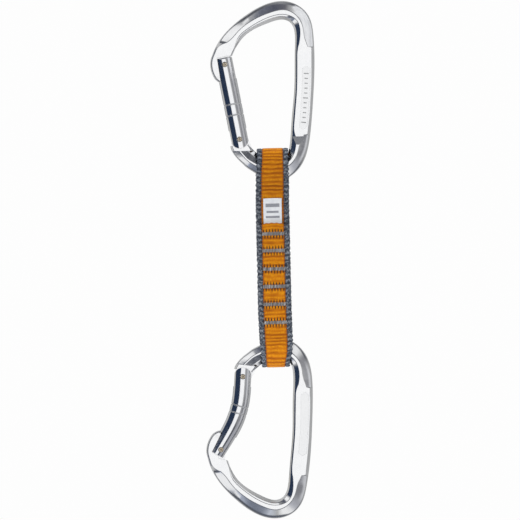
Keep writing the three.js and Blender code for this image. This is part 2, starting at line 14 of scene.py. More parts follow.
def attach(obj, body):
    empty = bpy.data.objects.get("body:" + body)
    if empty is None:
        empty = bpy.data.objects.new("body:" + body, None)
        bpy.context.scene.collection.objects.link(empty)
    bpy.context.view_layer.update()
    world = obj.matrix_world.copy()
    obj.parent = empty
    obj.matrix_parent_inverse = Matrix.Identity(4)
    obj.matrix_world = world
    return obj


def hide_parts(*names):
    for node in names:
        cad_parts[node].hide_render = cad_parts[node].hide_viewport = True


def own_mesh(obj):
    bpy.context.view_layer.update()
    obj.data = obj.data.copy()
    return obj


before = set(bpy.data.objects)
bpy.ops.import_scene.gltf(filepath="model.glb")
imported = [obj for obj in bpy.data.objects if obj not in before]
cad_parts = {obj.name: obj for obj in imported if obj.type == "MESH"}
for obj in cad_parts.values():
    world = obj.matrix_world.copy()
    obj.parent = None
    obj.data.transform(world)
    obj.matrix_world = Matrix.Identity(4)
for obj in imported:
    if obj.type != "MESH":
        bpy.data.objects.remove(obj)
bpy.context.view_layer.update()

TURN = 2 * math.pi

# ------------------------------------------------------------------ dimensions, millimetres

CENTRE = (-8.2282, -0.5413)  # the drawing's point at the frame's origin

# The carabiner bar, from the nose over the top, down the spine on the right and round the
# bottom to the hinge. Columns: outer X, Y; inner X, Y; start and end of the ridge, measured
# from the inner edge; half thickness at the ridge and at the outer edge.
SECTIONS = np.array("""
-26.56 99.49 -24.66 101.37 0.9 1.68 2.6 1.4
-28.98 100.11 -24.91 102.51 0.9 3.52 2.9 1.5
-31.59 102.09 -24.99 104.2 0.9 5.43 3.2 1.6
-33.38 105.69 -24.71 106.46 0.9 7.1 3.5 1.73
-34.14 109.38 -24.1 108.7 0.9 8.47 3.8 1.87
-33.95 112.99 -23.31 110.95 0.9 9.33 4 2
-32.73 116.35 -22.53 112.82 0.9 9.57 4.2 2.15
-31.46 119.3 -21.78 115.01 0.9 9.13 4.23 2.3
-29.92 122.1 -20.82 117.13 0.9 7.55 4.27 2.17
-28.16 124.73 -19.75 119.24 0.9 5.84 4.3 2.03
-26.2 127.18 -18.54 121.3 1.44 4.7 4.32 1.9
-24.09 129.47 -17.17 123.29 2.02 4.21 4.34 1.8
-21.85 131.61 -15.61 125.16 2.22 4.14 4.36 1.7
-19.51 133.61 -13.83 126.83 2.21 4.22 4.38 1.6
-17.08 135.5 -11.88 128.29 2.19 4.31 4.4 1.5
-14.61 137.27 -9.79 129.56 2.26 4.41 4.4 1.5
-12.11 138.94 -7.56 130.7 2.43 4.56 4.4 1.5
-9.58 140.49 -5.21 131.72 2.69 4.74 4.4 1.5
-7.02 141.89 -2.77 132.66 2.9 4.88 4.4 1.5
-4.3 143.16 -0.38 133.52 3.01 4.91 4.4 1.5
-1.31 144.28 1.82 134.25 3.02 4.89 4.4 1.5
1.99 145.14 3.87 134.79 3 4.94 4.4 1.5
5.54 145.58 5.88 135.09 2.98 5.1 4.4 1.5
9.21 145.42 7.8 135.03 2.99 5.24 4.4 1.5
12.89 144.51 9.43 134.61 3.08 5.18 4.4 1.5
16.46 142.75 10.68 133.97 3.27 5.05 4.37 1.53
19.57 140.2 11.73 133.09 3.52 4.96 4.34 1.56
21.89 136.98 12.63 131.85 3.68 4.91 4.31 1.59
23.32 133.47 13.32 130.24 3.65 4.87 4.29 1.61
24.04 130.02 13.77 128.23 3.45 4.8 4.26 1.64
24.38 126.75 13.98 126 3.16 4.85 4.23 1.67
24.57 123.65 14.01 123.59 2.8 5.34 4.2 1.7
24.68 120.7 13.93 121 2.43 6.57 4.1 1.97
24.75 117.93 13.8 118.23 2.26 8.11 4 2.23
24.77 115.24 13.68 115.4 2.25 9.04 3.9 2.5
24.75 112.5 13.59 112.63 2.28 9.27 3.9 2.5
24.69 109.7 13.52 109.92 2.31 9.31 3.9 2.5
24.6 106.88 13.46 107.23 2.31 9.32 3.9 2.5
24.47 104.06 13.38 104.54 2.32 9.32 3.9 2.5
24.32 101.26 13.29 101.85 2.34 9.32 3.9 2.5
24.15 98.45 13.17 99.15 2.37 9.32 3.9 2.5
23.95 95.66 13 96.45 2.41 9.31 3.9 2.5
23.74 92.87 12.79 93.75 2.45 9.32 3.9 2.5
23.51 90.08 12.52 91.05 2.49 9.38 3.9 2.5
23.27 87.3 12.21 88.35 2.53 9.48 3.9 2.5
23.03 84.52 11.89 85.64 2.59 9.6 3.9 2.5
22.77 81.75 11.57 82.92 2.66 9.68 3.9 2.5
22.49 78.98 11.27 80.2 2.67 9.68 3.9 2.5
22.21 76.21 11 77.47 2.63 9.6 3.9 2.5
21.9 73.46 10.76 74.73 2.61 9.33 3.9 2.5
21.54 70.71 10.54 71.99 2.75 8.55 3.9 2.27
21.13 67.97 10.29 69.23 3.09 7.14 4 2.03
20.62 65.14 10 66.59 3.48 5.76 4.1 1.8
19.96 62.15 9.65 64.18 3.69 5.12 4.2 1.73
19.06 59.03 9.24 62 3.66 4.97 4.23 1.65
17.79 55.82 8.68 60.01 3.47 4.84 4.26 1.57
16.05 52.69 7.84 58.15 3.23 4.65 4.29 1.5
13.76 49.83 6.62 56.6 2.99 4.45 4.31 1.52
10.94 47.34 5.21 55.57 2.85 4.31 4.34 1.54
7.52 45.36 3.91 55.04 2.85 4.28 4.37 1.56
3.67 44.28 2.6 54.77 2.95 4.39 4.4 1.58
-0.17 44.4 0.97 54.72 3.1 4.57 4.38 1.6
-3.74 45.41 -0.91 55 3.24 4.74 4.37 1.62
-7 46.92 -2.87 55.66 3.34 4.85 4.35 1.64
-9.97 48.64 -4.82 56.66 3.5 5 4.33 1.66
-12.64 50.39 -6.73 58.01 3.75 5.35 4.32 1.68
-15.02 52.08 -8.55 59.59 3.6 6.1 4.3 1.7
-17.4 54.41 -9.8 60.74 2.6 7.2 4.28 1.9
-19.72 56.73 -11.23 62.3 1.5 8.3 4.26 2.1
-21.7 59.14 -12.56 63.69 0.95 8.75 4.24 2.3
-23.17 61.66 -13.38 64.72 0.9 8.85 4.22 2.5
-23.9 64.17 -13.64 65.52 0.9 8.95 4.2 2.6
""".split(), float).reshape(-1, 8)
STEPS = 6  # rings per row of SECTIONS
INNER_FLAT = 1.4  # half height of the flat on the bar's inner edge

# Recess in the spine panel, with ticks in the upper carabiner's
PANEL_HALF = 3.9
RECESS_FLOOR = PANEL_HALF - 0.22
TICK_FLOOR = RECESS_FLOOR - 0.2
RECESS_IN, RECESS_OUT = 1.9, 0.55  # inset from the ridge's start and end
TICK_WIDTH = 0.55

# Gate coordinates: hinge rivet at the origin, +Y to the latch rivet
HINGE = (-18.56, 67.95)
GATE_TILT = 0.17353  # radians
LATCH = 43.0
PIN_R, PIN_HEAD_R, PIN_HOLE_R, PIN_HALF = 1.2, 1.42, 1.5, 5.2
BLADE_HALF, SLOT_HALF, GAP = 1.5, 1.9, 0.3
GATE_R, GATE_TOP = 5.15, 46.9
GATE_FOOT, GATE_ROUND = -5.6, 0.75  # lower end, and rounding of the upper one
TAIL_SLOT, HEAD_SLOT = 5.7, 34.3  # ends of the slots for the tang and the nose hook
NOSE_SWEEP, BENT_SWEEP = 47.5, 48.1  # radii cleared for the gate's swing
# Middle line of the bent gate: X, Y, radius
BENT_LINE = [
    (-1.2, -5.3, 5.1), (0, 0, 5.1), (1.18, 4.9, 5.1), (2.2, 9.6, 5.1), (2.78, 13, 5.1),
    (3.12, 16.2, 5.1), (3.22, 19.4, 5.1), (3.14, 22.6, 5.1), (2.88, 25.8, 5.08),
    (2.4, 29, 5.03), (1.72, 32.4, 4.95), (0.9, 36, 4.85), (-0.1, 40, 4.75),
    (-0.98, 43.4, 4.65), (-1.72, 46.2, 4.6),
]
BENT_TAIL = 0.236  # radians the bent gate's bore leans clockwise
GROOVES = {"straight": (14.0, 20.2), "bent": (16.4, 20.6)}
BORE_R = 1.85
BORE_END = {"straight": 21.0, "bent": 17.0}
FOLLOWER_TIP, FOLLOWER_R, FOLLOWER_HEAD = 3.7, 1.5, 2.9
FOLLOWER_TRAVEL = 2.6  # millimetres per radian of gate swing
SPRING_R, SPRING_WIRE, SPRING_TURNS = 1.12, 0.28, 7
SPRING_SEAT = 0.25  # clearance at each end of the coil
NOSE_HOOK = [(-6.2, 34.6), (-2.0, 36.2), (1.6, 38.4), (2.4, 39.6), (2.4, 42), (3.3, 45.3),
             (3.9, 48.6), (2.8, 50.6), (-4.6, 50.4), (-7.0, 46), (-7.2, 38)]
TANG_FOOT = [(5.6, -4.4), (5.6, -8.6), (-3.2, -9.2), (-5.6, -5.2)]

# The lower carabiner is the upper's place swung in the plane, then turned upside down
LOWER_SWING = math.radians(7.979)
LOWER_SHIFT = (8.079, -1.212)

WEB_T = 1.5
TOP_LOOP, LOW_LOOP = 7.2, 7.6  # loop radii
TOP_Y, BOTTOM_Y = 62.0, -60.5
PITCH = 1.75  # spacing of the three layers
TACKS = [14.3, 4.8, -5.6, -15.5, -25.5, -35.8]
TACK_W, TACK_H = 12.6, 2.0
LABEL_W, LABEL_T, LABEL_TOP, LABEL_END = 10.4, 0.35, 34.6, 12.4
# Sides of the sling: Y, left X, right X
EDGES = [(62.8, -8.85, 8.5), (56, -9.0, 8.6), (48, -9.75, 8.75), (30, -10.2, 8.5),
         (-30, -10.15, 8.55), (-46, -9.7, 8.9), (-53, -9.2, 8.5), (-56.5, -8.9, 7.5),
         (-58.6, -8.7, 7.0), (-60.6, -8.5, 6.8)]

# ------------------------------------------------------------------ places


def to_world(points):
    """Drawing millimetres to the frame's metres."""
    x, y, z = np.asarray(points, float).T
    return np.stack([x - CENTRE[0], -z, y - CENTRE[1]], 1) * 1e-3


def rot_z(points, angle):
    x, y, z = np.asarray(points, float).T
    c, s = math.cos(angle), math.sin(angle)
    return np.stack([c * x - s * y, s * x + c * y, z], 1)


def from_gate(points):
    return rot_z(points, GATE_TILT) + np.array([*HINGE, 0.0])


def turn_lower(points):
    """The upper carabiner's place to the lower one's."""
    x, y, z = rot_z(points, LOWER_SWING).T
    return np.stack([x + LOWER_SHIFT[0], -y + LOWER_SHIFT[1], -z], 1)


# ------------------------------------------------------------------ mesh helpers


def signed_volume(points, triangles):
    a, b, c = (points[triangles[:, k]] for k in range(3))
    return float(np.einsum("ij,ij->i", a, np.cross(b, c)).sum() / 6)


def mesh_from(points, faces):
    mesh = bpy.data.meshes.new("part")
    mesh.from_pydata(points.tolist(), [], faces)
    mesh.update()
    return mesh


def new_mesh(points, faces):
    """A closed shell from lists of indices, turned the right way out."""
    points = np.asarray(points, float)
    fans = [(f[0], f[i], f[i + 1]) for f in faces for i in range(1, len(f) - 1)]
    if signed_volume(points, np.array(fans)) < 0:
        faces = [f[::-1] for f in faces]
    return mesh_from(points, faces)


def skin(rings):
    """Points, wall quads and end fans of a tube. The two hub points come last."""
    count, sides = rings.shape[:2]
    points = np.vstack([rings.reshape(-1, 3), rings[0].mean(0), rings[-1].mean(0)])
    i, j = np.meshgrid(np.arange(count - 1), np.arange(sides), indexing="ij")
    a, b = i * sides + j, i * sides + (j + 1) % sides
    walls = np.stack([a, b, b + sides, a + sides], -1).reshape(-1, 4)
    hub = count * sides
    j = np.arange(sides)
    k = (j + 1) % sides
    start = np.stack([np.full(sides, hub), k, j], 1)
    end = np.stack([np.full(sides, hub + 1), hub - sides + j, hub - sides + k], 1)
    return points, walls, np.vstack([start, end])


def loft(rings):
    """A closed skin over rings of equal point counts."""
    points, walls, fans = skin(np.asarray(rings, float))
    halves = [signed_volume(points, walls[:, pick]) for pick in ([0, 1, 2], [0, 2, 3])]
    if sum(halves) < 0:
        walls, fans = walls[:, ::-1], fans[:, ::-1]
    return mesh_from(points, walls.tolist() + fans.tolist())


def join_tubes(tubes):
    """One mesh from several closed tubes."""
    points, faces, first = [], [], 0
    for rings in tubes:
        tube_points, walls, fans = skin(rings)
        if signed_volume(tube_points - tube_points[0], walls[:, :3]) < 0:
            walls, fans = walls[:, ::-1], fans[:, ::-1]
        points.append(tube_points)
        faces += (walls + first).tolist() + (fans + first).tolist()
        first += len(tube_points)
    return mesh_from(np.vstack(points), faces)


def turned(profile, sides):
    """A bar along +Y turned from (radius, height) pairs, the first and last on the axis."""
    angles = np.arange(sides) / sides * 2 * math.pi
    rings = np.array([[[r * math.sin(a), y, r * math.cos(a)] for a in angles]
                      for r, y in profile if r > 0])
    points, walls, fans = skin(rings)
    points[-2:] = [[0, profile[0][1], 0], [0, profile[-1][1], 0]]
    fans = fans.reshape(2, sides, 3).transpose(1, 0, 2).reshape(-1, 3)
    return new_mesh(points, walls.tolist() + fans.tolist())


def plate(outline, low, high):
    """An outline in X and Y raised between two heights in Z."""
    m = len(outline)
    points = [(x, y, z) for z in (low, high) for x, y in outline]
    faces = [list(range(m))[::-1], list(range(m, 2 * m))]
    faces += [[j, (j + 1) % m, m + (j + 1) % m, m + j] for j in range(m)]
    return new_mesh(points, faces)


def slab(outline, half):
    return plate(outline, -half, half)


def block(x0, x1, y0, y1, half):
    return slab([(x0, y0), (x1, y0), (x1, y1), (x0, y1)], half)


def disc(x, y, radius, half, sides=48):
    angles = np.arange(sides) / sides * 2 * math.pi
    return slab([(x + radius * math.cos(a), y + radius * math.sin(a)) for a in angles], half)


def arc(radius, start, end, count):
    """Points about the origin, angles clockwise from +Y."""
    angles = [start + (end - start) * i / count for i in range(count + 1)]
    return [(radius * math.sin(a), radius * math.cos(a)) for a in angles]


def capsule(x, y, length, width, angle, count=8):
    """Outline of a rounded slot centred on x, y, its length along angle."""
    outline = []
    c, s = math.cos(angle), math.sin(angle)
    for side in (1, -1):
        for i in range(count + 1):
            a = -math.pi / 2 + math.pi * i / count
            px = side * (length / 2 - width / 2 + width / 2 * math.cos(a))
            py = side * width / 2 * math.sin(a)
            outline.append((x + px * c - py * s, y + px * s + py * c))
    return outline


def coordinates(mesh):
    flat = np.zeros(len(mesh.vertices) * 3, np.float32)
    mesh.vertices.foreach_get("co", flat)
    return flat.reshape(-1, 3).astype(float)


def move(mesh, place):
    moved = place(coordinates(mesh))
    mesh.vertices.foreach_set("co", moved.astype(np.float32).ravel())
    mesh.update()
    return mesh


def volume(mesh):
    mesh.calc_loop_triangles()
    flat = np.zeros(len(mesh.loop_triangles) * 3, np.int32)
    mesh.loop_triangles.foreach_get("vertices", flat)
    return signed_volume(coordinates(mesh), flat.reshape(-1, 3))


def combine(mesh, operation, tools):
    """Runs one boolean per tool. The exact solver steps in where the quick one fails."""
    link = bpy.context.scene.collection.objects.link
    for tool in tools:
        before = volume(mesh)
        for solver in ("MANIFOLD", "EXACT"):
            target = bpy.data.objects.new("carve_a", mesh)
            cutter = bpy.data.objects.new("carve_b", tool)
            link(target)
            link(cutter)
            boolean = target.modifiers.new("b", "BOOLEAN")
            boolean.operation, boolean.solver, boolean.object = operation, solver, cutter
            depsgraph = bpy.context.evaluated_depsgraph_get()
            made = bpy.data.meshes.new_from_object(target.evaluated_get(depsgraph))
            bpy.data.objects.remove(target)
            bpy.data.objects.remove(cutter)
            change = volume(made) - before
            right_way = change >= -1e-6 if operation == "UNION" else change <= 1e-6
            if len(made.polygons) > 3 and right_way and abs(change) > 1e-6:
                break
        mesh = made
    return mesh


def cut(mesh, *tools):
    return combine(mesh, "DIFFERENCE", tools)


def add(mesh, *tools):
    return combine(mesh, "UNION", tools)


def catmull(table, steps):
    """Catmull-Rom spline through the rows of a table."""
    p = np.asarray(table, float)
    p = np.vstack([2 * p[0] - p[1], p, 2 * p[-1] - p[-2]])
    out = []
    for i in range(1, len(p) - 2):
        a, b, c, d = p[i - 1:i + 3]
        for k in range(steps):
            t = k / steps
            out.append(0.5 * (2 * b + (c - a) * t + (2 * a - 5 * b + 4 * c - d) * t * t
                              + (3 * b - a - 3 * c + d) * t ** 3))
    out.append(p[-2])
    return np.array(out)


def soften(rings, reach):
    """Rounds ring corners with four points each; reach is where the rounding starts."""
    before, after = np.roll(rings, 1, 1) - rings, np.roll(rings, -1, 1) - rings

    def start(side):
        length = np.linalg.norm(side, axis=2) + 1e-9
        return rings + side * np.minimum(np.asarray(reach) / length, 0.45)[..., None]

    a, b = start(before), start(after)
    parts = [(1 - t) ** 2 * a + 2 * t * (1 - t) * rings + t * t * b
             for t in np.linspace(0, 1, 4)]
    return np.stack(parts, 2).reshape(rings.shape[0], -1, 2)


def unit(vectors):
    return vectors / np.linalg.norm(vectors, axis=-1, keepdims=True)


def directions(path):
    return unit(np.gradient(path, axis=0))


def round_rings(path, radius, side, up, sides):
    """Rings of a round tube along a path, given two unit vectors across it."""
    radius = np.broadcast_to(np.asarray(radius, float), (len(path),))[:, None, None]
    a = (np.arange(sides) / sides * 2 * math.pi)[None, :, None]
    return path[:, None] + radius * (np.cos(a) * side[:, None] + np.sin(a) * up[:, None])


def tube(path, radius, sides):
    forward = directions(path)
    side = unit(np.cross(forward, np.array([0.0, 0.0, 1.0])))
    return round_rings(path, radius, side, np.cross(side, forward), sides)


MATERIALS = {}


def show(name, mesh, slot, body, replaced, sharp, weighted=True):
    """Puts a finished mesh, already in frame metres, on its body. sharp is in degrees."""
    mesh.name = name
    mesh.shade_smooth()
    if sharp:
        mesh.set_sharp_from_angle(angle=math.radians(sharp))
    mesh.materials.clear()
    mesh.materials.append(MATERIALS[slot])
    piece = bpy.data.objects.new(name, mesh)
    bpy.context.scene.collection.objects.link(piece)
    if weighted:
        piece.modifiers.new("normals", "WEIGHTED_NORMAL").keep_sharp = True
    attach(piece, body)
    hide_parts(replaced)
    return piece


# ------------------------------------------------------------------ shader helpers


def math_step(operation, swapped=False):
    def step(self, other=None):
        pair = (other, self) if swapped else (self, other)
        return self.shader.math(operation, *pair)
    return step


class Signal:
    """An output of a shader node. Each arithmetic step on it adds one Math node."""

    def __init__(self, shader, node, key=0):
        self.shader, self.node, self.key = shader, node, key

    def output(self, key):
        return Signal(self.shader, self.node, key)

    __add__, __radd__ = math_step("ADD"), math_step("ADD", swapped=True)
    __sub__, __rsub__ = math_step("SUBTRACT"), math_step("SUBTRACT", swapped=True)
    __mul__, __abs__ = math_step("MULTIPLY"), math_step("ABSOLUTE")
    __gt__, __lt__ = math_step("GREATER_THAN"), math_step("LESS_THAN")
    sine, cosine = math_step("SINE"), math_step("COSINE")


def rgba(colour):
    """Full colour from a signal, a grey or three channels."""
    if isinstance(colour, Signal):
        return colour
    return (*colour, 1.0) if isinstance(colour, tuple) else (colour, colour, colour, 1.0)


class Shader:
    """A short way to write a node tree."""

    def __init__(self, tree):
        self.tree = tree
        tree.nodes.clear()

    def node(self, kind, inputs, output=0, **settings):
        node = self.tree.nodes.new("ShaderNode" + kind)
        for name, value in settings.items():
            setattr(node, name, value)
        for key, value in inputs.items():
            if isinstance(value, Signal):
                self.tree.links.new(value.node.outputs[value.key], node.inputs[key])
            elif value is not None:
                node.inputs[key].default_value = value
        return Signal(self, node, output)

    def math(self, operation, a, b=None):
        return self.node("Math", {0: a, 1: b}, operation=operation)

    def vmath(self, operation, a, b=None):
        output = "Value" if operation == "DOT_PRODUCT" else 0
        return self.node("VectorMath", {0: a, 1: b}, output, operation=operation)

    def coords(self, kind="Object"):
        return self.node("TexCoord", {}, kind)

    def attribute(self, name):
        return self.node("Attribute", {}, "Vector", attribute_name=name)

    def split(self, vector):
        node = self.node("SeparateXYZ", {0: vector})
        return [node.output(axis) for axis in range(3)]

    def part(self, vector, axis):
        return self.split(vector)[axis]

    def mix(self, factor, a, b, **settings):
        inputs = {"Factor": factor, 6: rgba(a), 7: rgba(b)}
        return self.node("Mix", inputs, 2, data_type="RGBA", **settings)

    def tint(self, colour, to, where, amount):
        """Takes colour part of the way to another where the mask is 1."""
        return self.mix(self.math("MULTIPLY", where, amount), colour, to)

    def ramp(self, value, stops, interpolation="LINEAR"):
        signal = self.node("ValToRGB", {0: value})
        ramp = signal.node.color_ramp
        ramp.interpolation = interpolation
        while len(ramp.elements) > 1:
            ramp.elements.remove(ramp.elements[-1])
        for i, (position, colour) in enumerate(stops):
            element = ramp.elements[0] if i == 0 else ramp.elements.new(position)
            element.position = position
            element.color = rgba(colour)
        return signal

    def span(self, value, start, end, low=0.0, high=1.0, smooth=False):
        """Maps start..end to low..high, clamped."""
        return self.node("MapRange", dict(enumerate((value, start, end, low, high))),
                         interpolation_type="SMOOTHSTEP" if smooth else "LINEAR")

    def wave(self, value, pitch):
        return (value * (TURN / pitch)).sine()

    def noise(self, vector, scale, detail, rough, distort=0.0):
        return self.node("TexNoise", {"Vector": vector, "Scale": scale, "Detail": detail,
                                      "Roughness": rough, "Distortion": distort})

    def stretch(self, vector, scale, turn=(0, 0, 0)):
        return self.node("Mapping", {"Vector": vector, "Scale": scale, "Rotation": turn})

    def bump(self, height, distance, strength=1.0, normal=None):
        return self.node("Bump", {"Strength": strength, "Distance": distance,
                                  "Height": height, "Normal": normal})

    def bevel(self, radius):
        return self.node("Bevel", {"Radius": radius}, samples=4)

    def finish(self, shader, kind="OutputMaterial"):
        self.node(kind, {0: shader})

    def surface(self, **inputs):
        named = {key.replace("_", " "): value for key, value in inputs.items()}
        self.finish(self.node("BsdfPrincipled", named))


def new_material(name):
    MATERIALS[name] = made = bpy.data.materials.new(name)
    made.use_nodes = True
    return Shader(made.node_tree)


# ------------------------------------------------------------------ materials

# Lighter bands in the gate grooves, in frame millimetres: gate kind, hinge rivet,
# direction to the latch rivet, half width
GATE_BANDS = [
    ("straight", (-10.3318, 0, 68.4913), (-0.17266, 0, 0.98498), 0.5),
    ("bent", (-11.5053, 0, -65.3866), (-0.30772, 0, -0.95148), 0.4),
]
BAND_BLUR = 0.00008


def groove_bands(t, at):
    mask = 0.0
    for kind, hinge, axis, half in GATE_BANDS:
        for height in GROOVES[kind]:
            from_hinge = t.vmath("SUBTRACT", at, tuple(v * 1e-3 for v in hinge))
            away = t.vmath("DOT_PRODUCT", from_hinge, axis) - height * 1e-3
            own_end = t.part(at, 2) * (1.0 if hinge[2] > 0 else -1.0) > 0.0
            inside = t.span(abs(away), start=half * 1e-3 + BAND_BLUR,
                            end=half * 1e-3 - BAND_BLUR)
            mask = t.math("MAXIMUM", mask, own_end * inside)
    return mask


def polished(name, light, dark, rough, wave, grain, wear=0.3, engraved=False, banded=False):
    """Tumbled and polished metal: slow waves, fine drawn scratches, brighter worn edges.
    wave is the height of the slow waves, grain the scratches' scale along each axis."""
    edge = 0.0001  # rounding of the edges
    t = new_material(name)
    at = t.coords()
    slow = t.noise(at, scale=120, detail=2.0, rough=0.45)
    cloud = t.noise(at, scale=420, detail=4.0, rough=0.6)
    speck = t.noise(at, scale=5200, detail=2.0, rough=0.6)
    scratch = t.noise(t.stretch(at, grain), scale=1.0, detail=3.0, rough=0.7, distort=0.4)
    crossed = t.stretch(at, (grain[2], grain[1], grain[0]), turn=(0.0, 0.5, 0.0))
    cross = t.noise(crossed, scale=1.0, detail=2.0, rough=0.7, distort=0.3)
    normal = t.node("NewGeometry", {}, "Normal")
    # the wider bevel leaves the true normal near edges, which marks the worn rim
    rim = t.span(t.vmath("DOT_PRODUCT", t.bevel(edge * 3.2), normal), start=0.97, end=0.80)
    rim = rim * t.span(cloud, start=0.35, end=0.62, low=0.35)
    recess = ticks = 0.0
    if engraved:
        # flat faces at the depth of the recess floor and of the tick floors
        depth = abs(t.part(at, 1))
        facing = abs(t.part(normal, 1)) > 0.985
        recess = (depth > 0.00364) * (depth < 0.00372) * facing
        ticks = (depth > 0.00342) * (depth < 0.00354) * facing
    colour = t.mix(t.span(cloud, start=0.3, end=0.7), dark, light)
    colour = t.tint(colour, to=(0.80, 0.81, 0.80), where=recess, amount=0.12)
    colour = t.tint(colour, to=(0.50, 0.51, 0.51), where=ticks, amount=0.9)
    colour = t.tint(colour, to=0.97, where=rim, amount=wear)
    # roughness: clouds, scratches, rim, then the engraving
    roughness = rough + t.span(cloud, start=0.35, end=0.7) * 0.07
    roughness = roughness + t.span(scratch, start=0.55, end=0.75) * 0.06
    roughness = roughness + rim * 0.05
    roughness = roughness + (t.math("MULTIPLY", recess, 0.08) + t.math("MULTIPLY", ticks, 0.22))
    if banded:
        band = groove_bands(t, at)
        colour = t.tint(colour, to=(0.86, 0.865, 0.87), where=band, amount=0.8)
        roughness = roughness + band * 0.4
    bumped = t.bump(slow, distance=wave, normal=t.bevel(edge))
    bumped = t.bump(scratch * 0.6 + cross * 0.4, distance=0.0000016, normal=bumped)
    bumped = t.bump(speck, distance=0.0000009, normal=bumped)
    t.surface(Base_Color=colour, Metallic=1.0, Roughness=roughness, Normal=bumped)


def webbing_material():
    """Orange webbing with blue-grey edge cords, reading the attributes of make_webbing.
    Pitches are in millimetres."""
    t = new_material("nylon_webbing")
    strip = t.attribute("strip")
    across, along, cord = (t.part(strip, axis) for axis in range(3))
    _, relief, sewn_face = t.split(t.attribute("marks"))
    at = t.coords()

    # heights: a plain weave with picks across it, and twisted cords
    pitch = 0.58
    weave = t.wave(across, pitch=0.62) * t.wave(along, pitch)
    picks = abs(t.wave(along, 2 * pitch))
    fibre = t.noise(t.stretch(strip, (2.2, 9.0, 1.0)), scale=1.0, detail=4.0, rough=0.65)
    fuzz = t.noise(at, scale=3400, detail=3.0, rough=0.7)
    patch = t.noise(at, scale=95, detail=3.0, rough=0.55)
    body_height = weave * 0.30 + (picks * 0.45 + fibre * 0.35)
    # slants and noise shift the cord's strands along it
    twist = (along * (TURN / 1.02) + (abs(across) * 3.4 + fibre * 3.0)).sine()
    strands = t.noise(t.stretch(strip, (0.95, 0.42, 0.0)), scale=1.0, detail=3.0, rough=0.6)
    flip = (along * (TURN / 2.6) + abs(across) * 1.1 + strands * 17.0).sine()
    cord_height = twist * 0.4 + fibre * 0.5
    # the border between body and cord wanders
    fray = t.span(fibre, start=0.3, end=0.7, low=-1.0)
    ragged = t.wave(along, pitch=1.52) * 0.22 + fray * 0.26
    is_cord = t.span(cord + ragged, start=-0.10, end=0.10)
    height = t.node("Mix", {0: is_cord, 2: body_height, 3: cord_height}, data_type="FLOAT")

    # orange body: painted shade in the rib valleys, rusty lengths, painted highlight on the rib
    # crests, painted shade in the weave's dips, flecks, painted shade beside the cord border
    relief = t.span(relief, start=0.0, end=1.0)
    orange = t.ramp(patch * 0.55 + fibre * 0.45, [
        (0.22, (0.27, 0.078, 0.0012)), (0.42, (0.385, 0.120, 0.0018)),
        (0.60, (0.48, 0.160, 0.0025)), (0.8, (0.68, 0.262, 0.006))])
    # painted shade: the orange darkens in the rib valleys, where the relief is low
    orange = t.tint(orange, to=(0.19, 0.048, 0.003),
                    where=t.span(relief, start=0.80, end=0.18), amount=0.84)
    rust = t.noise(t.stretch(strip, (0.16, 0.55, 1.0)), scale=1.0, detail=3.0, rough=0.6)
    orange = t.tint(orange, to=(0.36, 0.085, 0.004),
                    where=t.span(rust, start=0.52, end=0.70), amount=0.42)
    # painted highlight: brighter orange on the tops of the ribs, weaker in the rusty lengths
    crest_highlight = t.span(relief, start=0.86, end=1.0) * t.span(rust, start=0.62, end=0.42, low=0.35)
    orange = t.tint(orange, to=(0.74, 0.33, 0.008), where=crest_highlight, amount=0.46)
    # painted shade in the dips of the weave
    orange = t.tint(orange, to=(0.33, 0.085, 0.004),
                    where=t.span(weave, start=0.2, end=-0.8), amount=0.28)
    fleck = t.noise(t.stretch(strip, (1.25, 2.6, 0.0)), scale=1.0, detail=2.0, rough=0.6)
    orange = t.tint(orange, to=(0.30, 0.072, 0.010),
                    where=t.span(fleck, start=0.53, end=0.64), amount=0.42)
    # painted shade on the orange along the border with the cord, where the seam's groove runs
    orange = t.tint(orange, to=(0.24, 0.062, 0.008),
                    where=t.span(cord + ragged, start=-1.1, end=-0.2), amount=0.35)

    # grey cords: painted shade between plies, light and dark strands, painted shade in the dips
    grey = t.ramp(fibre * 0.6 + fuzz * 0.4, [
        (0.28, (0.028, 0.036, 0.052)), (0.46, (0.062, 0.075, 0.098)),
        (0.60, (0.14, 0.157, 0.185)), (0.80, (0.36, 0.38, 0.41))])
    # painted shade between the plies, where the twist is low
    grey = t.tint(grey, to=(0.022, 0.027, 0.042),
                  where=t.span(twist, start=0.1, end=-0.9), amount=0.45)
    pale = t.span(flip, start=0.25, end=0.85) * t.span(fuzz, start=0.35, end=0.6, low=0.45)
    grey = t.tint(grey, to=(0.34, 0.355, 0.38), where=pale, amount=0.56)
    grey = t.tint(grey, to=(0.014, 0.018, 0.027),
                  where=t.span(flip, start=-0.10, end=-0.80), amount=0.66)
    # painted shade in the braid's dips and on its rounded edges
    grey = t.tint(grey, to=(0.018, 0.021, 0.032),
                  where=t.span(relief, start=0.7, end=0.05), amount=0.75)
    colour = t.mix(is_cord, orange, grey)

    # needle pulls above and below each bar tack, from 0.8 to about 3 mm away
    reach, above, _ = t.split(t.attribute("sew"))
    columns = t.noise(t.stretch(strip, (0.9, 0.05, 0.0)), scale=1.0, detail=1.0, rough=0.5)
    uneven = t.span(columns, start=0.3, end=0.7, low=-0.5, high=0.5)
    end = 3.15 + uneven * 1.4
    near = (t.span(reach, start=0.8, end=1.0, smooth=True)
            * t.span(end - reach, start=0.0, end=0.7, smooth=True))
    row = across * (TURN / 1.66) + above * 1.3
    narrow = t.span(reach, start=1.0, end=2.6, low=-0.10, high=0.62) + uneven * 0.75
    pull = near * t.span(row.cosine() - narrow, start=0.0, end=0.28, smooth=True)
    pull = pull * sewn_face * (1.0 - is_cord)
    colour = t.tint(colour, to=(0.036, 0.017, 0.010), where=pull, amount=0.94)

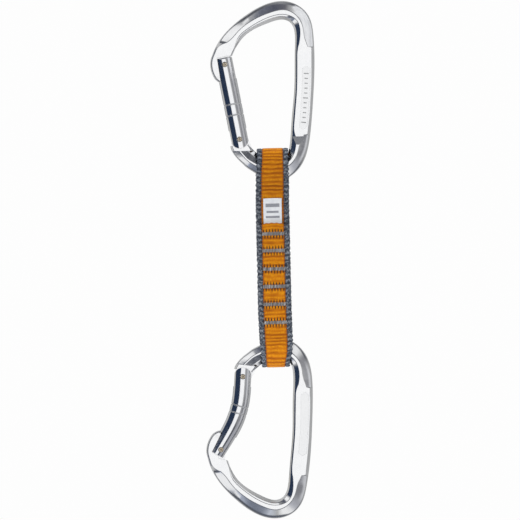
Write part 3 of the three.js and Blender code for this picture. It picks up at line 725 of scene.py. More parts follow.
    # painted shade: ambient occlusion darkens the colour in creases and where layers meet
    hollow = t.node("AmbientOcclusion", {"Distance": 0.0028}, "AO", samples=6)
    shade = t.span(hollow, start=0.25, end=0.92, low=0.42)
    colour = t.mix(1.0, colour, shade, blend_type="MULTIPLY")
    normal = t.bump(height - pull * 1.6, distance=0.00013, strength=0.9)
    normal = t.bump(fuzz, distance=0.00003, strength=0.7, normal=normal)
    t.surface(Base_Color=colour, Normal=normal, Sheen_Weight=0.05, Sheen_Roughness=0.4,
              Roughness=t.span(fibre, start=0.3, end=0.7, low=0.62, high=0.86),
              Specular_IOR_Level=0.14)


def thread_material():
    """Twisted grey thread. The attribute holds length, place round it and tone."""
    t = new_material("tack_thread")
    length, around, tone = t.split(t.attribute("thread"))
    # two plies, one turn each 0.5 mm
    ply = (length * (TURN / 0.5) + around * (TURN * 2)).sine()
    fuzz = t.noise(t.coords(), scale=5200, detail=3.0, rough=0.7)
    colour = t.ramp(tone * 0.7 + fuzz * 0.3, [
        (0.1, (0.075, 0.07, 0.07)), (0.4, (0.155, 0.148, 0.148)),
        (0.65, (0.29, 0.28, 0.28)), (0.92, (0.62, 0.61, 0.60))])
    # painted shade in the groove between the plies
    colour = t.tint(colour, to=(0.05, 0.052, 0.065),
                    where=t.span(ply, start=0.0, end=-1.0), amount=0.5)
    t.surface(Base_Color=colour, Sheen_Weight=0.2,
              Roughness=t.span(fuzz, start=0.3, end=0.7, low=0.45, high=0.7),
              Normal=t.bump(ply * 0.7 + fuzz, distance=0.00006, strength=0.9))


def label_material():
    """White woven label with plain grey bars. Places are in millimetres."""
    t = new_material("label_fabric")
    across, down, _ = t.split(t.attribute("strip"))
    at = t.coords()
    fuzz = t.noise(at, scale=4200, detail=3.0, rough=0.6)
    patch = t.noise(at, scale=240, detail=2.0, rough=0.5)
    weave = t.wave(across, pitch=0.26) * t.wave(down, pitch=0.30)
    cloth = t.mix(t.span(patch, start=0.3, end=0.7), (0.66, 0.68, 0.72), (0.78, 0.79, 0.81))
    # painted shade in the dips of the weave
    cloth = t.tint(cloth, to=(0.52, 0.54, 0.59),
                   where=t.span(weave, start=0.2, end=-1.0), amount=0.30)

    def within(distance, half, blur=0.09):
        return t.span(distance, start=half + blur, end=half - blur)

    def bar(y, height, half):
        return within(abs(down - y), height / 2) * within(abs(across), half)

    small_bars = t.math("MAXIMUM", bar(y=8.0, height=1.3, half=3.4),
                        bar(y=11.0, height=1.3, half=3.9))
    ink = t.math("MAXIMUM", bar(y=4.1, height=2.1, half=3.9), small_bars)
    ink = ink * t.span(weave, start=-1.0, end=0.6, low=0.55, high=0.95)
    colour = t.mix(ink, cloth, (0.16, 0.17, 0.20))
    colour = t.tint(colour, to=(0.55, 0.57, 0.62),
                    where=t.span(abs(across), start=4.7, end=5.15), amount=0.4)
    normal = t.bump(weave + ink * 1.5, distance=0.00005, strength=0.8)
    normal = t.bump(fuzz, distance=0.00002, strength=0.6, normal=normal)
    t.surface(Base_Color=colour, Normal=normal, Sheen_Weight=0.15,
              Roughness=t.span(fuzz, start=0.3, end=0.7, low=0.5, high=0.72))


polished("forged_aluminium", light=(0.94, 0.945, 0.955), dark=(0.88, 0.885, 0.90),
         rough=0.10, wave=0.00004, grain=(1400, 1400, 160), engraved=True)
polished("gate_aluminium", light=(0.94, 0.945, 0.955), dark=(0.84, 0.85, 0.88),
         rough=0.07, wave=0.000012, grain=(1800, 1800, 120), banded=True)
polished("rivet_metal", light=(0.80, 0.72, 0.58), dark=(0.55, 0.46, 0.34),
         rough=0.24, wave=0.00002, grain=(2600, 2600, 2600), wear=0.6)
polished("spring_steel", light=(0.66, 0.67, 0.69), dark=(0.42, 0.43, 0.46),
         rough=0.24, wave=0.00001, grain=(3000, 3000, 3000))
webbing_material()
thread_material()
label_material()

# ------------------------------------------------------------------ carabiners


def frame_rings(cheeks=False):
    """Cross-sections round the bar, and the stations they stand on. With cheeks the hinge
    end is a full-width plate, without them a bevelled bar."""
    stations = catmull(SECTIONS, STEPS)
    inner = stations[:, 2:4]
    across = stations[:, 0:2] - inner
    width = np.linalg.norm(across, axis=1)
    across /= width[:, None]
    ridge_in, ridge_out, half, edge = stations[:, 4:].T.copy()
    row = np.arange(len(stations)) / STEPS

    def along(rows, values):
        """Values given at rows of SECTIONS."""
        return np.interp(row, rows, values)

    # the spine panel ends in crisp steps
    for rows, ends in (([31, 32.55], [5.34, 7.0]), ([32.55, 35], [9.15, 9.27]),
                       ([49, 50.4], [9.33, 9.25]),
                       ([50.4, 51, 52, 53], [7.3, 6.8, 5.7, 5.12])):
        inside = (row > rows[0]) & (row < rows[-1])
        ridge_out = np.where(inside, along(rows, ends), ridge_out)
    ridge_out = np.minimum(ridge_out, width - 0.7)
    # the nose is flat almost to its outer edge, and thicker than its table rows
    nose = along([7.0, 9.0], [1.0, 0.0])
    ridge_out = ridge_out * (1 - nose) + (width - 1.25) * nose
    half = np.where(row < 5, along([0, 2, 5], [3.35, 3.68, 4.02]), half)
    edge = np.where(row < 5, np.maximum(edge, along([0, 5], [1.7, 2.0])), edge)
    hinge_end = 0.0 * row
    if not cheeks:
        last = row > 62
        ridge_in = np.where(last, along([62, 64, 65, 66, 67, 68, 71],
                                        [3.2, 4.5, 5.15, 5.6, 5.95, 6.0, 5.8]), ridge_in)
        outward = along([62, 64, 65, 66, 67, 68, 71], [4.7, 5.5, 5.95, 6.4, 6.6, 6.55, 6.3])
        ridge_out = np.where(last, np.minimum(outward, width - 0.9), ridge_out)
        half = np.where(last, along([62, 66, 67, 68, 69, 71],
                                    [4.4, 4.3, 4.15, 3.95, 3.7, 3.4]), half)
        edge = np.where(last, along([62, 64, 65, 68, 69, 71],
                                    [1.6, 1.9, 2.3, 2.45, 2.2, 1.9]), edge)
        ridge_in = np.minimum(ridge_in, ridge_out - 0.35)
        hinge_end = along([62.5, 65], [0.0, 1.0])
    stations[:, 4], stations[:, 5] = ridge_in, ridge_out

    # inner bevel: a fold part of the way up, then a fine line beside the ridge
    spine = along([32, 34, 49.5, 51], [0, 1, 1, 0])
    steep = along([23.5, 26, 56, 58.5], [0, 1, 1, 0])
    line_in = 0.105 * (1 - 0.72 * spine)
    fold = 0.5 - 0.1 * hinge_end - 0.2 * steep
    near_ridge = ridge_in - np.minimum(0.38, 0.35 * ridge_in)
    near_ridge = near_ridge * (1 - spine) + 0.63 * ridge_in * spine
    slopes = (math.tan(math.radians(14.5)) * hinge_end + math.tan(math.radians(26)) * steep)
    fold_drop = 0.05 + (near_ridge - ridge_in * fold) * slopes
    # outer bevel: slightly convex, ending in a rim 0.45 wide
    rim = width - 0.45
    run = rim - ridge_out
    lip = np.minimum(0.42, 0.3 * run)
    fullness = along([9, 14, 15.5, 23.5, 25.5, 32, 51, 53, 60, 62, 71],
                     [0.0, 0.15, 1.0, 1.0, 0.3, 0.3, 0.6, 0.8, 0.8, 0.3, 0.2])
    crown = np.clip(run * 0.075, 0.0, 0.34) * fullness
    bevel_start = np.stack([ridge_out + lip, half - 0.28 * lip], 1)
    bevel_end = np.stack([rim, edge], 1)
    slope = unit(bevel_end - bevel_start)
    outward = np.stack([-slope[:, 1], slope[:, 0]], 1)

    def on_bevel(share, rise):
        return bevel_start + (bevel_end - bevel_start) * share + outward * crown[:, None] * rise

    zero = np.zeros_like(width)
    upper = np.stack([
        np.stack([zero, INNER_FLAT + zero], 1),
        np.stack([ridge_in * fold, half - line_in - fold_drop], 1),
        np.stack([near_ridge, half - line_in], 1),
        np.stack([ridge_in, half], 1), np.stack([ridge_out, half], 1),
        bevel_start, on_bevel(0.33, 0.85), on_bevel(0.68, 0.95), bevel_end,
        np.stack([width, edge * 0.5], 1)], 1)
    ring = np.concatenate([upper, upper[:, ::-1] * np.array([1.0, -1.0])], 1)
    reach = [0.5, 0.40, 0.10, 0.10, 0.12, 0.12, 1.2, 1.2, 0.5, 0.3]
    ring = soften(ring, reach + reach[::-1])
    flat = inner[:, None, :] + across[:, None, :] * ring[..., 0:1]
    return np.concatenate([flat, ring[..., 1:2]], 2), stations


def cam_radius(angle, tail):
    """Radius of the tang that clears the follower through 30 degrees of gate swing."""
    radius = 4.7
    for k in range(25):
        swing = math.radians(30) * k / 24
        off_axis = angle - tail - swing
        if math.cos(off_axis) > 0.2:
            reach = (FOLLOWER_TIP - GAP + FOLLOWER_TRAVEL * swing) / math.cos(off_axis)
            if abs(reach * math.sin(off_axis)) < FOLLOWER_R + GAP:
                radius = min(radius, reach)
    return radius


def bent_rings(extra, sides, steps, table=BENT_LINE):
    """Rings of the bent gate, grown by extra all round and at its upper end."""
    line = catmull(table, steps)
    forward = directions(line[:, :2])
    angles = (np.arange(sides) + 0.5) / sides * 2 * math.pi
    centre = line[:, :2].copy()
    centre[-1] += forward[-1] * extra
    radius = (line[:, 2] + extra)[:, None]
    across = np.stack([forward[:, 1], -forward[:, 0]], 1) * radius
    flat = centre[:, None] + across[:, None] * np.cos(angles)[:, None]
    return np.dstack([flat, radius * np.sin(angles)])


def on_both_faces(outline, floor):
    """Tools that cut an outline down to the given height from the front and the back."""
    return [plate(outline, floor, 6), plate(outline, -6, -floor)]


def spine_recess(stations, ticked):
    inner = stations[:, 2:4]
    across = unit(stations[:, 0:2] - inner)
    start = stations[:, 4] + RECESS_IN
    end = stations[:, 5] - RECESS_OUT
    rows = range(37 * STEPS, 49 * STEPS + 1, 3)
    left = [inner[i] + across[i] * start[i] for i in rows]
    right = [inner[i] + across[i] * end[i] for i in rows]
    tip = np.array([0.1, 1.3])  # the ends come to shallow points
    top = (left[0] + right[0]) / 2 + tip
    bottom = (left[-1] + right[-1]) / 2 - tip
    tools = on_both_faces(left + [bottom] + right[::-1] + [top], RECESS_FLOOR)
    if ticked:
        middle = (start + stations[:, 5] - RECESS_OUT) / 2
        for k in range(11):
            i = (38 + k) * STEPS
            x, y = inner[i] + across[i] * middle[i]
            length = 2.9 if k % 5 == 0 else 1.9
            angle = math.atan2(across[i][1], across[i][0])
            tools += on_both_faces(capsule(x, y, length, TICK_WIDTH, angle), TICK_FLOOR)
    return tools


def nose_hook():
    """Blade on the nose with its catch for the latch rivet."""
    hole_r, catch = PIN_HOLE_R + 0.05, 1.55
    mouth = arc(LATCH + catch, 0, 0.2, 6) + arc(LATCH - catch, 0, 0.2, 6)[::-1]
    return cut(slab(NOSE_HOOK, BLADE_HALF), disc(0, LATCH, hole_r, 3), slab(mouth, 3))


def hinge_tang(tail):
    angles = [math.radians(degrees) for degrees in range(-96, 85, 3)]
    rim = [(cam_radius(a, tail) * math.sin(a), cam_radius(a, tail) * math.cos(a))
           for a in angles]
    return slab(rim + TANG_FOOT, BLADE_HALF)


def make_frame(kind, tail):
    """The bar with its hinge cheeks, gate opening, recess, nose hook and tang.
    Cutting tools reach past what they cut."""
    rings, stations = frame_rings()
    # flat cheeks either side of the hinge, ending in a straight shoulder
    shoulder = slab([(-34, 61.35), (-2, 61.35), (-2, 80), (-34, 80)], 8)
    cheeks = loft(frame_rings(cheeks=True)[0][63 * STEPS:])
    frame = add(loft(rings), combine(cheeks, "INTERSECT", [shoulder]))
    if kind == "straight":
        # the panel's lower end is a step with a shallow ramp below it
        for sign in (1, -1):
            side = [(68.85, 3.02), (63.9, 4.28), (63.9, 7.0), (68.85, 7.0)]  # Y, Z
            wedge = plate([(y, z * sign) for y, z in side], 7.6, 22.5)
            frame = cut(frame, move(wedge, lambda p: p[:, [2, 0, 1]]))
        sweep, room = NOSE_SWEEP, GATE_R + GAP
        clearance = turned([(0, 6), (room, 6), (room, sweep), (0, sweep)], 96)
    else:
        sweep = BENT_SWEEP
        clearance = loft(bent_rings(GAP, sides=80, steps=5, table=BENT_LINE[1:]))
    opening = [
        clearance,
        block(-4.2, 9, 0, 12, half=7),
        slab([(0, 6)] + arc(sweep, 0, 0.35, 16) + [(16, 40), (9, 6)], 6),
        disc(0, 0, GATE_R + 0.4, 7, 96),
    ]
    frame = cut(frame, *[move(tool, from_gate) for tool in opening])
    frame = cut(frame, *spine_recess(stations, ticked=kind == "straight"))
    frame = add(frame, move(nose_hook(), from_gate), move(hinge_tang(tail), from_gate))
    return cut(frame, move(disc(0, 0, PIN_HOLE_R, 3), from_gate))


def gate_groove(kind, y):
    """Tool for a plain groove round the gate."""
    if kind == "straight":
        ring = turned([(0, y - 0.45), (6.2, y - 0.45), (6.2, y + 0.45), (0, y + 0.45)], 96)
        core_r = GATE_R - 0.26
        core = turned([(0, y - 2), (core_r, y - 2), (core_r, y + 2), (0, y + 2)], 96)
    else:
        ring = block(-5, 11, y - 0.4, y + 0.4, half=7)
        core = loft(bent_rings(-0.24, sides=96, steps=5))
    return cut(ring, core)


def make_gate(kind, tail):
    """The gate bar with its slots, bore, rivet holes and two grooves."""
    if kind == "straight":
        x, y = GATE_R - GATE_ROUND, GATE_TOP - GATE_ROUND
        rounding = [(x + GATE_ROUND * math.cos(a), y + GATE_ROUND * math.sin(a))
                    for a in (0.35, 0.75, 1.2, 1.5)]
        profile = [(0, GATE_FOOT), (GATE_R, GATE_FOOT), (GATE_R, y)]
        gate = turned(profile + rounding + [(0, GATE_TOP)], 128)
    else:
        gate = loft(bent_rings(0.0, sides=112, steps=7))

    def lean(mesh):
        return move(mesh, lambda p: rot_z(p, -tail))

    heel = [(-9, 0), (-9, -9), (9, -9), (9, 0)] + arc(5.05, math.pi / 2, 3 * math.pi / 2, 40)
    end = BORE_END[kind]
    bore = [(0, TAIL_SLOT - 1), (BORE_R, TAIL_SLOT - 1), (BORE_R, end), (0, end + 0.8)]
    return cut(
        gate,
        lean(slab(heel, 8)),
        lean(block(-9, 9, -9, TAIL_SLOT, SLOT_HALF)),
        block(-9, 9, HEAD_SLOT, 52, SLOT_HALF),
        lean(turned(bore, 48)),
        disc(0, 0, PIN_HOLE_R, 8),
        disc(0, LATCH, PIN_HOLE_R, 8),
        *[gate_groove(kind, y) for y in GROOVES[kind]])


def make_rivet(y):
    """A rivet through the gate at height y, both heads slightly dished."""
    # radius, depth below the end; the other end mirrors it
    head = [(0, 0.16), (0.35, 0.13), (0.55, 0.02), (1.02, 0), (1.3, 0.12),
            (PIN_HEAD_R, 0.34), (PIN_HEAD_R, 0.9), (PIN_R, 1.15)]
    profile = [(r, -PIN_HALF + d) for r, d in head] + [(r, PIN_HALF - d) for r, d in head[::-1]]
    return move(turned(profile, 48),
                lambda p: np.stack([p[:, 0], y - p[:, 2], p[:, 1]], 1))


def make_follower(tail):
    """The spring follower: a round head with a thin stem above it."""
    # radius, height above the tip
    profile = [(0, 0), (FOLLOWER_R - 0.4, 0), (FOLLOWER_R - 0.12, 0.1), (FOLLOWER_R, 0.34),
               (FOLLOWER_R, 2.75), (FOLLOWER_R - 0.12, FOLLOWER_HEAD), (0.6, FOLLOWER_HEAD),
               (0.6, 7.9), (0.5, 8), (0, 8)]
    return move(turned([(r, FOLLOWER_TIP + y) for r, y in profile], 48),
                lambda p: rot_z(p, -tail))


def make_spring(kind, tail):
    start = FOLLOWER_TIP + FOLLOWER_HEAD + SPRING_WIRE + SPRING_SEAT
    end = BORE_END[kind] - SPRING_WIRE - SPRING_SEAT
    count = SPRING_TURNS * 28
    step = np.arange(count + 1)
    a = step / 28 * 2 * math.pi
    path = np.stack([SPRING_R * np.cos(a), start + (end - start) * step / count,
                     SPRING_R * np.sin(a)], 1)
    outward = np.stack([np.cos(a), 0 * a, np.sin(a)], 1)
    rings = round_rings(path, SPRING_WIRE, outward, np.cross(directions(path), outward), 10)
    return move(loft(rings), lambda p: rot_z(p, -tail))


def build_carabiner(prefix, kind, tail, place):
    """place takes the upper carabiner's drawing points to the frame."""
    def on_gate(points):
        return place(from_gate(points))

    swing = prefix + "_gate_assembly"
    show(prefix + "_frame_polished", move(make_frame(kind, tail), place),
         "forged_aluminium", prefix + "_carabiner", prefix + "_frame", sharp=26)
    show(prefix + "_gate_polished", move(make_gate(kind, tail), on_gate),
         "gate_aluminium", swing, prefix + "_gate", sharp=26)
    for end, y in (("hinge", 0.0), ("latch", LATCH)):
        rivet = f"{prefix}_{end}_rivet"
        show(rivet + "_peened", move(make_rivet(y), on_gate),
             "rivet_metal", swing, rivet, sharp=50)
    coil = show(prefix + "_gate_spring_coil", move(make_spring(kind, tail), on_gate),
                "spring_steel", swing, prefix + "_gate_spring", sharp=60, weighted=False)
    # the coil gets a mesh of its own; the top and foot of its bore are worked out but not used
    top, foot = (on_gate(rot_z(np.array([[0.0, y, 0.0]]), -tail))[0]
                 for y in (BORE_END[kind], 0.0))
    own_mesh(coil)
    show(prefix + "_follower_turned", move(make_follower(tail), on_gate),
         "spring_steel", prefix + "_follower", prefix + "_spring_follower", sharp=40)


build_carabiner("upper", "straight", 0.0, to_world)
build_carabiner("lower", "bent", BENT_TAIL, lambda points: to_world(turn_lower(points)))

# ------------------------------------------------------------------ sling


def leg(a, b, y0, y1, count):
    """Points (Z, Y) easing from depth a to b between two heights."""
    shares = [i / count for i in range(count + 1)]
    return [(a + (b - a) * (t * t * (3 - 2 * t)), y0 + (y1 - y0) * t) for t in shares]


def half_circle():
    return np.linspace(0, math.pi, 42)[1:-1]


# The strip's middle line as (Z, Y): from its free end down the front, round the lower loop,
# up the back, over the top loop and down between the other two layers
TOP_CENTRE, LOW_CENTRE = TOP_Y - TOP_LOOP, BOTTOM_Y + LOW_LOOP
FRONT_LEG = leg(TOP_LOOP, 0, TOP_CENTRE - 3, 18.5, 40)
STRIP_PATH = [
    (2.25, 20.4), (2.25, 17), (2.2, 12.5), (PITCH, 8.5), (PITCH, 0), (PITCH, -20),
    (PITCH, -37.8),
    *leg(PITCH, LOW_LOOP, -39, LOW_CENTRE, 30),
    *[(LOW_LOOP * math.cos(a), LOW_CENTRE - LOW_LOOP * math.sin(a)) for a in half_circle()],
    *leg(-LOW_LOOP, -PITCH, LOW_CENTRE, -39, 30),
    (-PITCH, -20), (-PITCH, 0), (-PITCH, 15.5),
    *leg(-PITCH, -TOP_LOOP, 18, TOP_CENTRE - 3, 40),
    (-TOP_LOOP, TOP_CENTRE),
    *[(-TOP_LOOP * math.cos(a), TOP_CENTRE + TOP_LOOP * math.sin(a)) for a in half_circle()],
    (TOP_LOOP, TOP_CENTRE),
    *FRONT_LEG, (0, 8), (0, -20), (0, -39.2),
]


def lengths(points):
    return np.concatenate([[0], np.cumsum(np.linalg.norm(np.diff(points, axis=0), axis=1))])


def resample(points, step, blur):
    """An even, smoothed line and the length along it."""
    points = np.array(points, float)
    length = lengths(points)
    even = np.linspace(0, length[-1], int(round(length[-1] / step)) + 1)
    line = np.stack([np.interp(even, length, points[:, k]) for k in (0, 1)], 1)
    k = int(3 * blur / step)
    weights = np.exp(-0.5 * (np.arange(-k, k + 1) * step / blur) ** 2)
    weights /= weights.sum()
    padded = np.vstack([2 * line[0] - line[k:0:-1], line, 2 * line[-1] - line[-2:-k - 2:-1]])
    line = np.stack([np.convolve(padded[:, k], weights, "valid") for k in (0, 1)], 1)
    return line, lengths(line)


WEB_LINE, WEB_LENGTH = resample(STRIP_PATH, step=0.30, blur=0.9)


def side_edges(y):
    height, left, right = np.array(EDGES)[::-1].T
    return np.interp(y, height, left), np.interp(y, height, right)


def wobble(length, seed, size):
    """Slow seeded noise along the strip."""
    knots = np.random.default_rng(seed).normal(size=int(length[-1] / size) + 6)
    place = length / size
    i = place.astype(int)
    f = place - i
    f = f * f * (3 - 2 * f)
    return knots[i] * (1 - f) + knots[i + 1] * f


def strip_rings(line, x, outer, inner, slide_z, slide_y):
    """Rings across the strip's outer face and back across its inner one. outer and inner
    are the faces' offsets from the line."""
    forward = directions(line)
    normal_z, normal_y = -forward[:, 1:], forward[:, :1]
    faces = [np.stack([x, line[:, 1:] + normal_y * offset + slide_y,
                       line[:, :1] + normal_z * offset + slide_z], 2)
             for offset in (outer, inner)]
    return np.concatenate([faces[0], faces[1][:, ::-1]], 1)


def mirrored(values):
    """Values on the outer face, repeated on the inner one."""
    return np.concatenate([values, values[:, ::-1]], 1)


def with_hubs(values):
    values = values.reshape(-1, 3)
    return np.vstack([values, values[:1], values[-1:]])


def add_vector(mesh, name, values):
    attribute = mesh.attributes.new(name, "FLOAT_VECTOR", "POINT")
    attribute.data.foreach_set("vector", np.asarray(values, np.float32).ravel())


def make_webbing():
    """The woven strip. Its attributes are
    strip: millimetres across and along, and depth into an edge cord;
    marks: signed distance to the nearest tack, height of the relief, 1 on sewn faces;
    sew: size and sign of the distance to the tack."""
    line, rows = WEB_LINE, len(WEB_LINE)
    z, y = line[:, 0], line[:, 1]
    left, right = side_edges(y)
    width = (right - left)[:, None]
    # share of the width from the left edge, closer set in the cords
    cord = 0.163
    in_left_cord = cord * 0.5 * (1 - np.cos(np.linspace(0, math.pi, 13)))[:-1]
    share = np.concatenate([in_left_cord, np.linspace(cord, 1 - cord, 40),
                            1 - in_left_cord[::-1]])
    columns = len(share)
    ones = np.ones((rows, columns))
    x = left[:, None] + width * share[None]
    across = x - (left + right)[:, None] / 2
    from_edge = np.minimum(share, 1 - share)[None] * ones
    cord_depth = (cord - from_edge) / cord
    cord_side = np.clip(1 - from_edge / cord, 0, 1) * 2 - 1  # -1 by the body, 1 outermost
    along = WEB_LENGTH[:, None] * ones
    on_left = share[None] < 0.5

    def slow(seed, size):
        return wobble(WEB_LENGTH, seed, size)[:, None]

    # braided cords: half thickness and phase
    phase = TURN * (along / 3.05 + 0.16 * slow(5, 6.0)) + np.where(on_left, 0.0, 2.1)
    braid = 0.5 + 0.5 * np.cos(phase - 0.45 * cord_side)
    cord_round = np.sqrt(np.clip(1 - (np.abs(cord_side) ** 2.6), 0.02, 1))
    half_cord = 0.28 + 0.45 * cord_round - 0.13 * (1 - braid)
    # ribbed body: deeper ribs in the loops, uneven everywhere, weaker beside the tack ends
    loop = np.clip((np.abs(z) - 2.6) / 2.2, 0, 1)[:, None]
    wander = 0.30 * slow(11, 4.6) + 0.05 * np.sin(across * 0.5 + along * 0.37)
    rib_phase = TURN * (along / 2.35 + wander)
    skew = 0.12 * np.sin(across * 0.9 + along * 0.8)
    rib = 1 - (1 - np.abs(np.sin(rib_phase / 2 + skew))) ** 1.15
    uneven = np.clip(0.52 + 0.30 * loop + 0.42 * slow(37, 2.2)
                     + 0.18 * np.sin(across * 0.7 + along * 0.21), 0.12, 1.0)
    depth = 0.11 + 0.20 * loop + 0.10 * slow(7, 3.1).clip(-1, 1.5)
    calm = 1.0 - 0.5 * np.exp(-((np.abs(across) - 5.6) / 0.8) ** 2)
    half_body = 0.735 - depth.clip(0.03, 0.42) * (0.45 + 0.55 * uneven) * (1 - rib) * calm
    seam = np.exp(-((np.abs(across) - (0.5 - cord) * width) / 0.42) ** 2)
    body = np.clip((from_edge - cord) / 0.02 + 0.5, 0, 1)
    half = half_cord * (1 - body) + half_body * body - 0.10 * seam
    # relief sets the painted shade in the valleys, the seam's groove and the cord dips, and the
    # painted highlight on the rib crests
    relief = np.where(body > 0.5, 1 - (1 - rib) * uneven, braid * 0.8 + 0.2 * cord_round)
    relief = relief * (1 - 0.7 * seam)
    # the cords bulge sideways with the braid
    bulge = ((0.23 + 0.08 * slow(23, 2.7).clip(-1, 1))
             * np.cos(phase + 0.5 * slow(29, 5.0)) * np.clip(cord_side, 0, 1))
    x = x + np.where(on_left, -1, 1) * bulge

    # dips where the thread pulls the cloth in, on the outer face of the front and back runs
    front = (z > PITCH - 0.5) & (y < 21) & (y > -42) & (np.arange(rows) < rows // 3)
    back = (z < -PITCH + 0.6) & (y < 17) & (y > -42)
    sewn = front | back
    distance = y[:, None] - np.array(TACKS)[None]
    nearest = distance[np.arange(rows), np.abs(distance).argmin(1)]
    tack = np.where(sewn, nearest, 9.0)
    dip = (0.24 * np.exp(-(tack / 1.25) ** 2)[:, None]
           * np.clip((6.9 - np.abs(across)) / 0.6, 0, 1))
    swell = 0.05 * np.cos(across / 6.2 * math.pi / 2)
    outer = (half + swell * body - dip).clip(0.12, 0.79)
    inner = (half - 0.02).clip(0.12, 0.75)
    # the free end is cut in a shallow arch
    arch = ((0.9 * (across / 8.0) ** 2 + 0.12 * np.sin(across * 2.1))
            * np.clip(1 - along / 6.0, 0, 1))
    forward = directions(line)
    mesh = loft(strip_rings(line, x, outer, -inner, forward[:, :1] * arch,
                            forward[:, 1:] * arch))

    tack = mirrored(tack[:, None] * ones)
    sewn_face = np.concatenate([ones * sewn[:, None], 0 * ones], 1)
    for name, channels in (
            ("strip", (mirrored(across), mirrored(along), mirrored(cord_depth * 3.0))),
            ("marks", (tack, mirrored(relief), sewn_face)),
            ("sew", (np.abs(tack), np.sign(tack), tack * 0))):
        add_vector(mesh, name, with_hubs(np.stack(channels, 2)))
    return move(mesh, to_world)


def surface_at(y, side):
    """Depth of the webbing's outer face on the front (1) or back (-1) run."""
    z, count = WEB_LINE[:, 0], len(WEB_LINE)
    run = (np.arange(count) < count // 3) & (z > 0) if side > 0 else (z < 0)
    run = np.where(run)[0]
    return abs(z[run[np.abs(WEB_LINE[run, 1] - y).argmin()]]) + 0.72


def make_tack(k, side):
    """A bar tack. The thread attribute holds length, place round it and tone."""
    y0 = TACKS[k]
    left, right = side_edges(y0)
    x0 = (left + right) / 2 + 0.05
    z0 = surface_at(y0, side) - 0.20
    random = np.random.default_rng(300 + k * 7 + (side > 0))
    tubes, threads = [], []
    # lengthwise underlay
    half = TACK_W / 2 - 0.15
    for j, dy in enumerate(np.linspace(-0.62, 0.62, 5)):
        x = np.linspace(-half, half, 50)
        path = np.stack([x0 + x, y0 + dy + 0.05 * np.sin(x * 2.2 + j),
                         z0 - 0.10 + 0.03 * np.sin(x * 3.1 + j * 2)], 1)
        tubes.append(tube(path, 0.17, 6))
        threads.append((x - x[0], 0.25 + 0.1 * random.random()))
    # zigzag cover, thread by thread
    half = TACK_W / 2 - 0.16
    t = np.linspace(0, 1, 17)
    for x in np.linspace(-half, half, 27):
        lean = 0.30 + 0.05 * random.normal()
        up = min(TACK_H / 2 + 0.10 * random.normal(), 1.22)
        down = min(TACK_H / 2 + 0.10 * random.normal(), 1.22)
        y = -down + (up + down) * t
        lift = 0.30 * np.sin(math.pi * t) ** 0.35 + 0.03 * random.normal()
        leaning = x + lean * (t - 0.5) + 0.03 * random.normal()
        path = np.stack([x0 + leaning, y0 + y, z0 - 0.12 + lift], 1)
        tubes.append(tube(path, 0.225 * (0.62 + 0.38 * np.sin(math.pi * t) ** 0.5), 8))
        threads.append((y - y[0], float(np.clip(0.55 + 0.22 * random.normal(), 0.08, 1.0))))
    if side < 0:
        for rings in tubes:
            rings[..., 2] *= -1
    mesh = join_tubes(tubes)
    values = []
    for rings, (length, tone) in zip(tubes, threads):
        thread = np.zeros(rings.shape)
        thread[..., 0] = length[:, None]
        thread[..., 1] = (np.arange(rings.shape[1]) / rings.shape[1])[None]
        thread[..., 2] = tone
        values.append(with_hubs(thread))
    add_vector(mesh, "thread", np.vstack(values))
    return move(mesh, to_world)


def make_label():
    """The label on the front leg. Its strip attribute holds millimetres across and down."""
    first = [y < LABEL_TOP - 0.2 for _, y in FRONT_LEG].index(True)
    (z0, y0), (z1, y1) = FRONT_LEG[first - 1], FRONT_LEG[first]
    start = (z0 + (z1 - z0) * ((LABEL_TOP - y0) / (y1 - y0)), LABEL_TOP)
    path = [start, *FRONT_LEG[first:], (0, LABEL_END)]
    line, length = resample(path, step=0.28, blur=0.6)
    left, right = side_edges(line[:, 1])
    share = np.linspace(-1, 1, 41)[None]
    down = length[:, None] * np.ones((1, share.size))
    # the upper end hangs free and ripples
    free = np.clip(1 - down / 13.0, 0, 1)
    ripple = (0.07 * np.sin(down * 0.9 + share * 1.3) * free
              + 0.05 * np.sin(share * 6.0 + down * 0.35) * free)
    across = share * LABEL_W / 2 * (1 + 0.006 * np.sin(down * 7.0))
    # thicker hems along the sides and the upper end
    half = (0.12 + 0.045 * np.exp(-((np.abs(share) - 0.96) / 0.03) ** 2)
            + 0.04 * np.exp(-((down - 0.35) / 0.25) ** 2))
    half = np.clip(half * np.clip((1 - np.abs(share)) / 0.02 + 0.45, 0.45, 1), 0.05, 0.172)
    arch = 0.10 * share ** 2 * np.clip(1 - down / 3, 0, 1)
    middle = WEB_T / 2 + 0.2 + LABEL_T / 2 + ripple * 0.6 - 0.02
    x = ((left + right) / 2)[:, None] + across
    mesh = loft(strip_rings(line, x, middle + half, middle - half, 0, -arch))
    channels = [mirrored(values) for values in (across, down, down * 0)]
    add_vector(mesh, "strip", with_hubs(np.stack(channels, 2)))
    return move(mesh, to_world)


show("sling_webbing_woven", make_webbing(), "nylon_webbing", "sling", "sling_webbing",
     sharp=None, weighted=False)
show("sling_label_woven", make_label(), "label_fabric", "sling", "sling_label",
     sharp=50, weighted=False)
for k in range(len(TACKS)):
    for face, side in (("front", 1), ("back", -1)):
        show(f"bar_tack_{k + 1}_{face}", make_tack(k, side), "tack_thread", "sling",
             f"bar_tack_{k + 1}", sharp=None, weighted=False)

# ------------------------------------------------------------------ studio, metres

scene = bpy.context.scene


